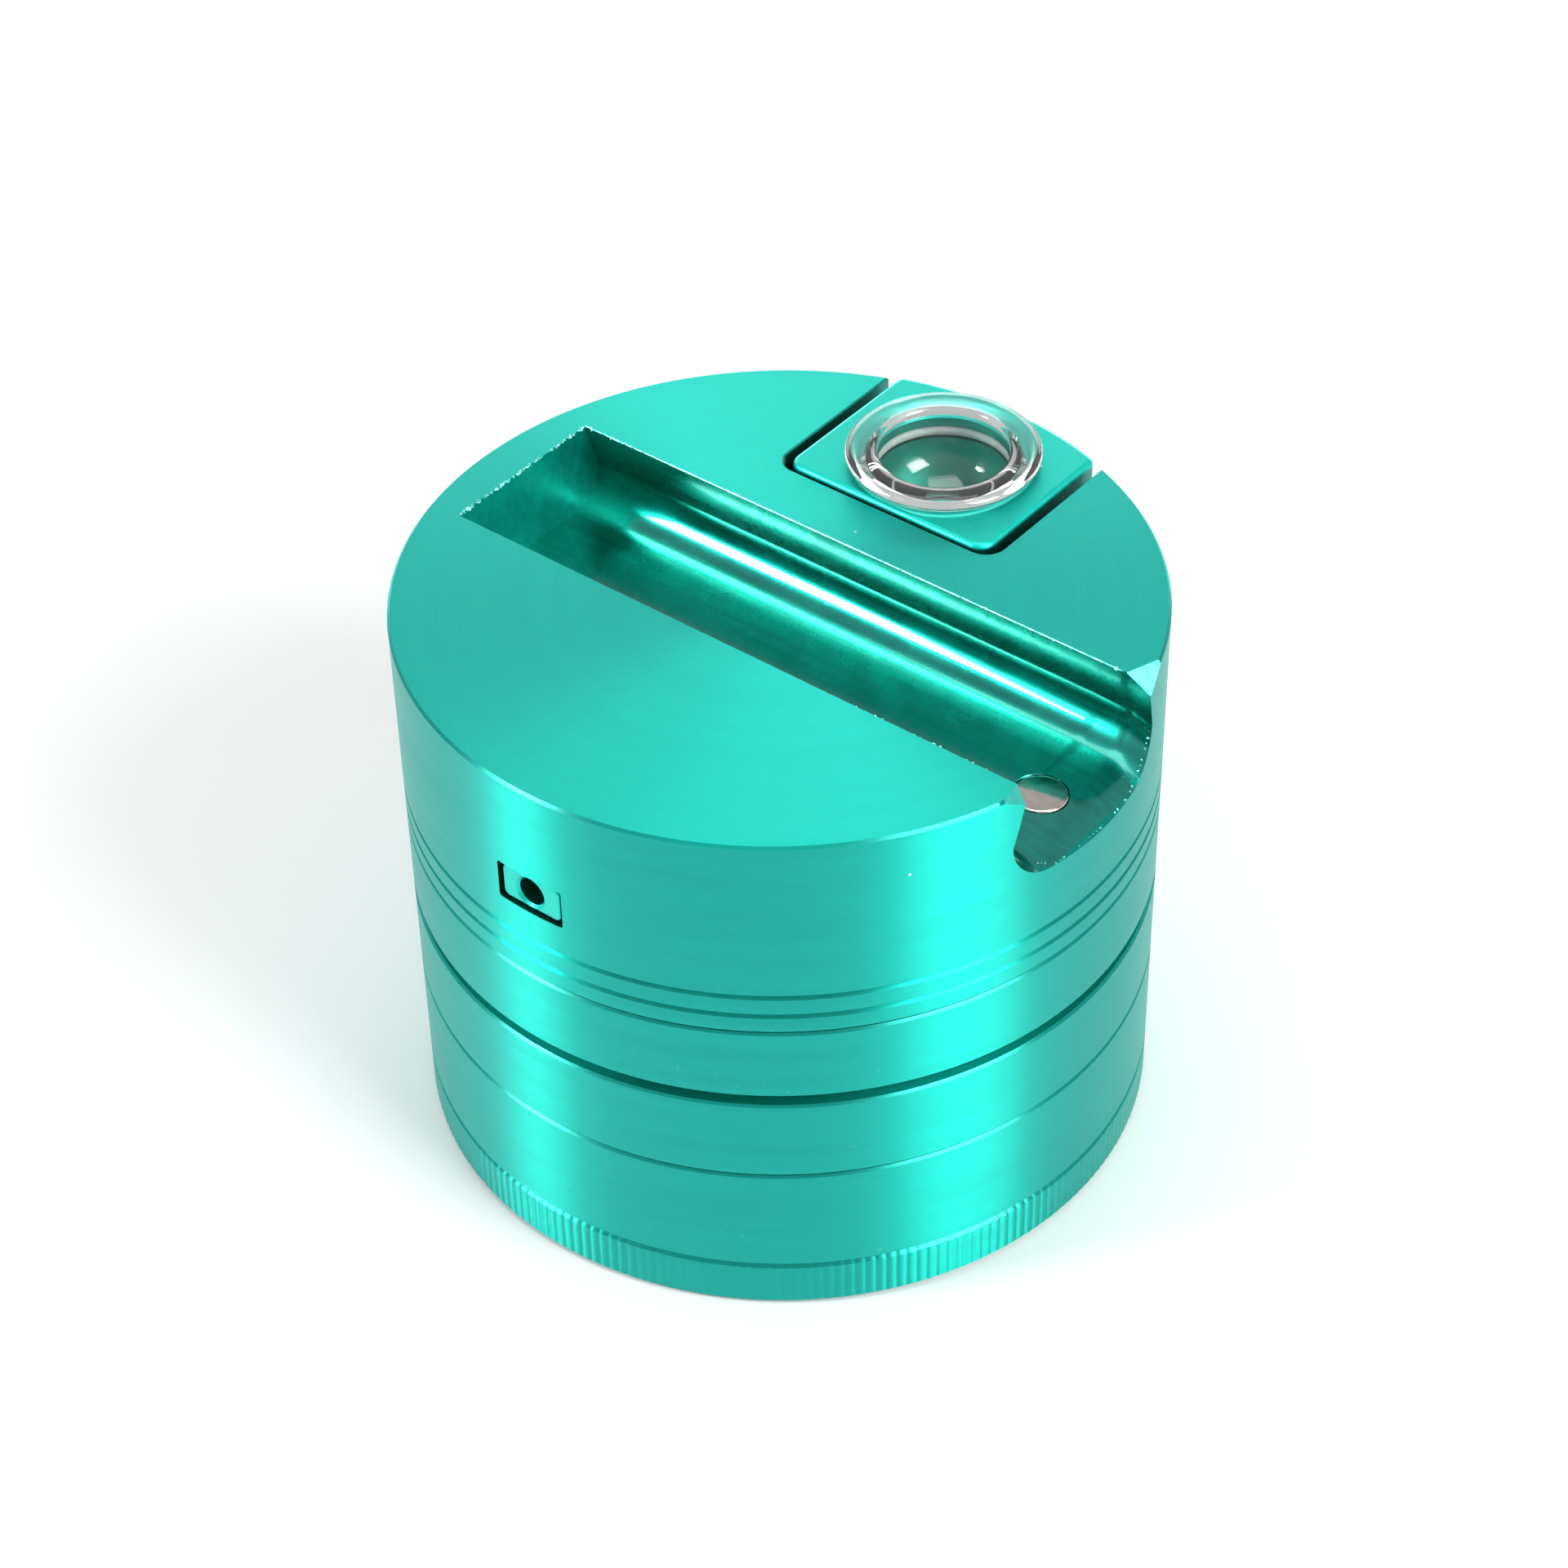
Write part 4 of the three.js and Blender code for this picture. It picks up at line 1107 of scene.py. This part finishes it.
def pipe_head():
    fillet = 0.5
    levels = [(HEAD_LOW, 0.2), (HEAD_LOW + 0.2, 0)]
    for i in range(6):
        a = math.radians(90 * i / 5)
        levels.append((HEAD_TOP - fillet + fillet * math.sin(a), fillet * (1 - math.cos(a))))
    bore = turned(
        [
            [0, STEM_MIDDLE], [1.35, STEM_MIDDLE], [1.35, 43.3], [6.8, 43.3], [6.8, 48.1], [7.8, 48.1],
            [7.8, 49.3], [6.8, 49.3], [6.8, HEAD_TOP - 0.35], [7.3, HEAD_TOP + 0.15], [7.3, 53.0],
            [0, 53.0],
        ],
        96,
        (0, BOWL_Y),
    )
    socket = block((-3.0, 11.0, 38.1), (3.0, 19.0, 41.5))
    catches = [lying_rod(CATCH_POCKET, side * CATCH_X, CATCH_Z, 11.0, 16.0) for side in (-1, 1)]
    smoke_way = lying_rod(SMOKE_BORE, 0, STEM_MIDDLE, 18.0, BOWL_Y)
    mesh = carved(standing(head_plan(), levels), cut=[bore, socket, smoke_way, *catches])
    piece("pipe_head_milled", mesh, "pipe", [SATIN_PAINTED_LIGHT, SIDE, POCKET_PAINTED_SHADE], ["pipe_head"], head_rule)


def pipe_stem():
    front, back, edge = -31.3, 18.9, 0.2
    plan = [(x + 0.12, z + 0.08, nx, nz) for x, z, nx, nz in rounded_plan(2.9, 38.2, 41.4, 0.6, 6)]
    rings = []
    for i in range(4, -1, -1):
        a = math.radians(90 * i / 4)
        rings.append((front + edge * (1 - math.sin(a)), edge * (1 - math.cos(a))))
    rings.append((back, 0))
    bar = lofted([[(x - nx * inset, y, z - nz * inset) for x, z, nx, nz in plan] for y, inset in rings])
    hole = lying_rod(SMOKE_BORE, 0, STEM_MIDDLE, -32.0, 20.0)
    turns = [2 * math.pi * k / 48 for k in range(48)]
    lead = lofted([
        [(r * math.cos(a), y, STEM_MIDDLE + r * math.sin(a)) for a in turns]
        for y, r in ((front - 0.3, 1.8), (front + 0.25, SMOKE_BORE - 0.001), (front + 1.0, 1.0))
    ])
    mesh = carved(bar, cut=[hole, lead])
    rule = lambda centre, normal: 0 if abs(normal.y) > 0.2 else 1
    piece("pipe_stem_bored", mesh, "pipe", [SATIN_PAINTED_LIGHT, POCKET_PAINTED_SHADE], ["pipe_stem"], rule)


def glass_bowl():
    """Blown glass: a rolled rim, a straight neck and a rounded bottom with a hole in it."""
    inner, wall, rim_width, rim_height = 5.6, 1.0, 2.7, 1.4
    round_top = HEAD_TOP - 6.8 + 4.2
    rest = HEAD_TOP + 0.05
    hole = 1.2

    def bottom(radius, height, steps=10):
        start = math.asin(hole / radius)
        angles = [start + (math.pi / 2 - start) * i / steps for i in range(steps + 1)]
        return [[radius * math.sin(a), round_top - height * math.cos(a)] for a in angles]

    middle, half_w, half_h = inner + rim_width / 2, rim_width / 2, rim_height / 2
    rim = []
    for i in range(25):
        a = math.radians(-90 + 270 * i / 24)
        rim.append([middle + half_w * math.cos(a), rest + half_h * (1 + math.sin(a))])
    neck = [[inner, rest + half_h - 0.4], [inner, rest - 0.6]]
    outside = [*bottom(inner + wall, 4.2), [inner + wall, rest - 0.15], [inner + wall + 0.1, rest]]
    profile = [*outside, *rim, *neck, *reversed(bottom(inner, 3.2))]
    mesh = turned(profile, 128, (0, BOWL_Y))
    piece("glass_bowl_blown", mesh, "bowl", [GLASS], ["glass_bowl"])


def bowl_seal():
    ring = turned([p for p in arc(7.2, SEAL_Z, 0.5, 0, 360, 16)[:-1]], 128, (0, BOWL_Y))
    piece("bowl_seal_ring", ring, "pipe", [SILICONE], ["bowl_seal"])


kief_catcher()
storage_ring()
sieve()
grinding_chamber()
slick_ring()
tooth_lid()
tray_body()
pipe_head()
pipe_stem()
glass_bowl()
bowl_seal()
magnet("chamber_magnet_disc", "chamber_magnet", "chamber", 4.0, 17.6, 19.6)
magnet("lid_magnet_disc", "lid_magnet", "lid", 4.0, 20.2, 22.2)
magnet("trough_magnet_disc", "trough_magnet", "tray", 2.25, 40.6, 42.1, 26.0)
catch_magnets()


# ---- Studio ----
def studio():
    floor_material, tree, shader, where = new_material("studio_paper")
    grain = clouds(tree, where, 40.0, 2.0)
    tree.links.new(toned(tree, (0.67,) * 3, (0.70,) * 3, grain), shader.inputs["Base Color"])
    shader.inputs["Roughness"].default_value = 0.9
    shader.inputs["Specular IOR Level"].default_value = 0.1
    size = 3.0
    corners = [(-size, -size, 0), (size, -size, 0), (size, size, 0), (-size, size, 0)]
    floor = linked("studio_floor", mesh_of("studio_floor", corners, [(0, 1, 2, 3)]))
    floor.data.materials.append(floor_material)

    world = bpy.data.worlds.new("studio")
    bpy.context.scene.world = world
    world.use_nodes = True
    sky = world.node_tree
    height = add(sky, "ShaderNodeSeparateXYZ", {0: add(sky, "ShaderNodeTexCoord").outputs["Generated"]})
    fade = add(sky, "ShaderNodeMapRange", {"Value": height.outputs[2], "From Min": 0.15, "From Max": 0.9})
    fade.inputs["To Min"].default_value, fade.inputs["To Max"].default_value = 0.65, 0.45
    sky.links.new(fade.outputs[0], sky.nodes["Background"].inputs["Strength"])
    sky.nodes["Background"].inputs["Color"].default_value = (1, 1, 1, 1)

    def softbox(name, azimuth, elevation, distance, width, height, radiance):
        """An area light aimed at the middle of the object. Its power follows from its brightness."""
        light = bpy.data.lights.new(name, "AREA")
        light.shape, light.size, light.size_y = "RECTANGLE", width, height
        light.energy = radiance * math.pi * width * height
        thing = bpy.data.objects.new(name, light)
        bpy.context.scene.collection.objects.link(thing)
        a, e = math.radians(azimuth), math.radians(elevation)
        out = Vector((math.cos(a) * math.cos(e), math.sin(a) * math.cos(e), math.sin(e)))
        thing.location = Vector((0, 0, 0.03)) + out * distance
        thing.rotation_mode = "QUATERNION"
        thing.rotation_quaternion = out.to_track_quat("Z", "Y")
        thing.visible_camera = False

    softbox("left_softbox", -127, 31, 0.7, 0.15, 0.21, 32.0)
    softbox("right_softbox", -1, 35, 0.7, 0.33, 0.45, 12.5)
    softbox("back_panel", 129, 12, 0.9, 1.6, 0.36, 2.8)
    softbox("top_softbox", 140, 82, 1.1, 0.65, 0.65, 2.8)

    scene = bpy.context.scene
    scene.view_settings.view_transform = "Standard"
    scene.view_settings.look = "None"


def camera():
    data = bpy.data.cameras.new("camera")
    data.lens, data.sensor_width = 86.6, 36.0
    data.clip_start, data.clip_end = 0.01, 20.0
    thing = bpy.data.objects.new("camera", data)
    bpy.context.scene.collection.objects.link(thing)
    right = Vector((0.7846, 0.6198, -0.0160)).normalized()
    forward = Vector((-0.4804, 0.5914, -0.6477)).normalized()
    up = right.cross(forward).normalized()
    right = forward.cross(up)
    thing.matrix_world = Matrix.Translation(Vector((152.2, -187.25, 234.8)) * MM) @ Matrix(
        (right, up, -forward)
    ).transposed().to_4x4()
    bpy.context.scene.camera = thing


studio()
camera()
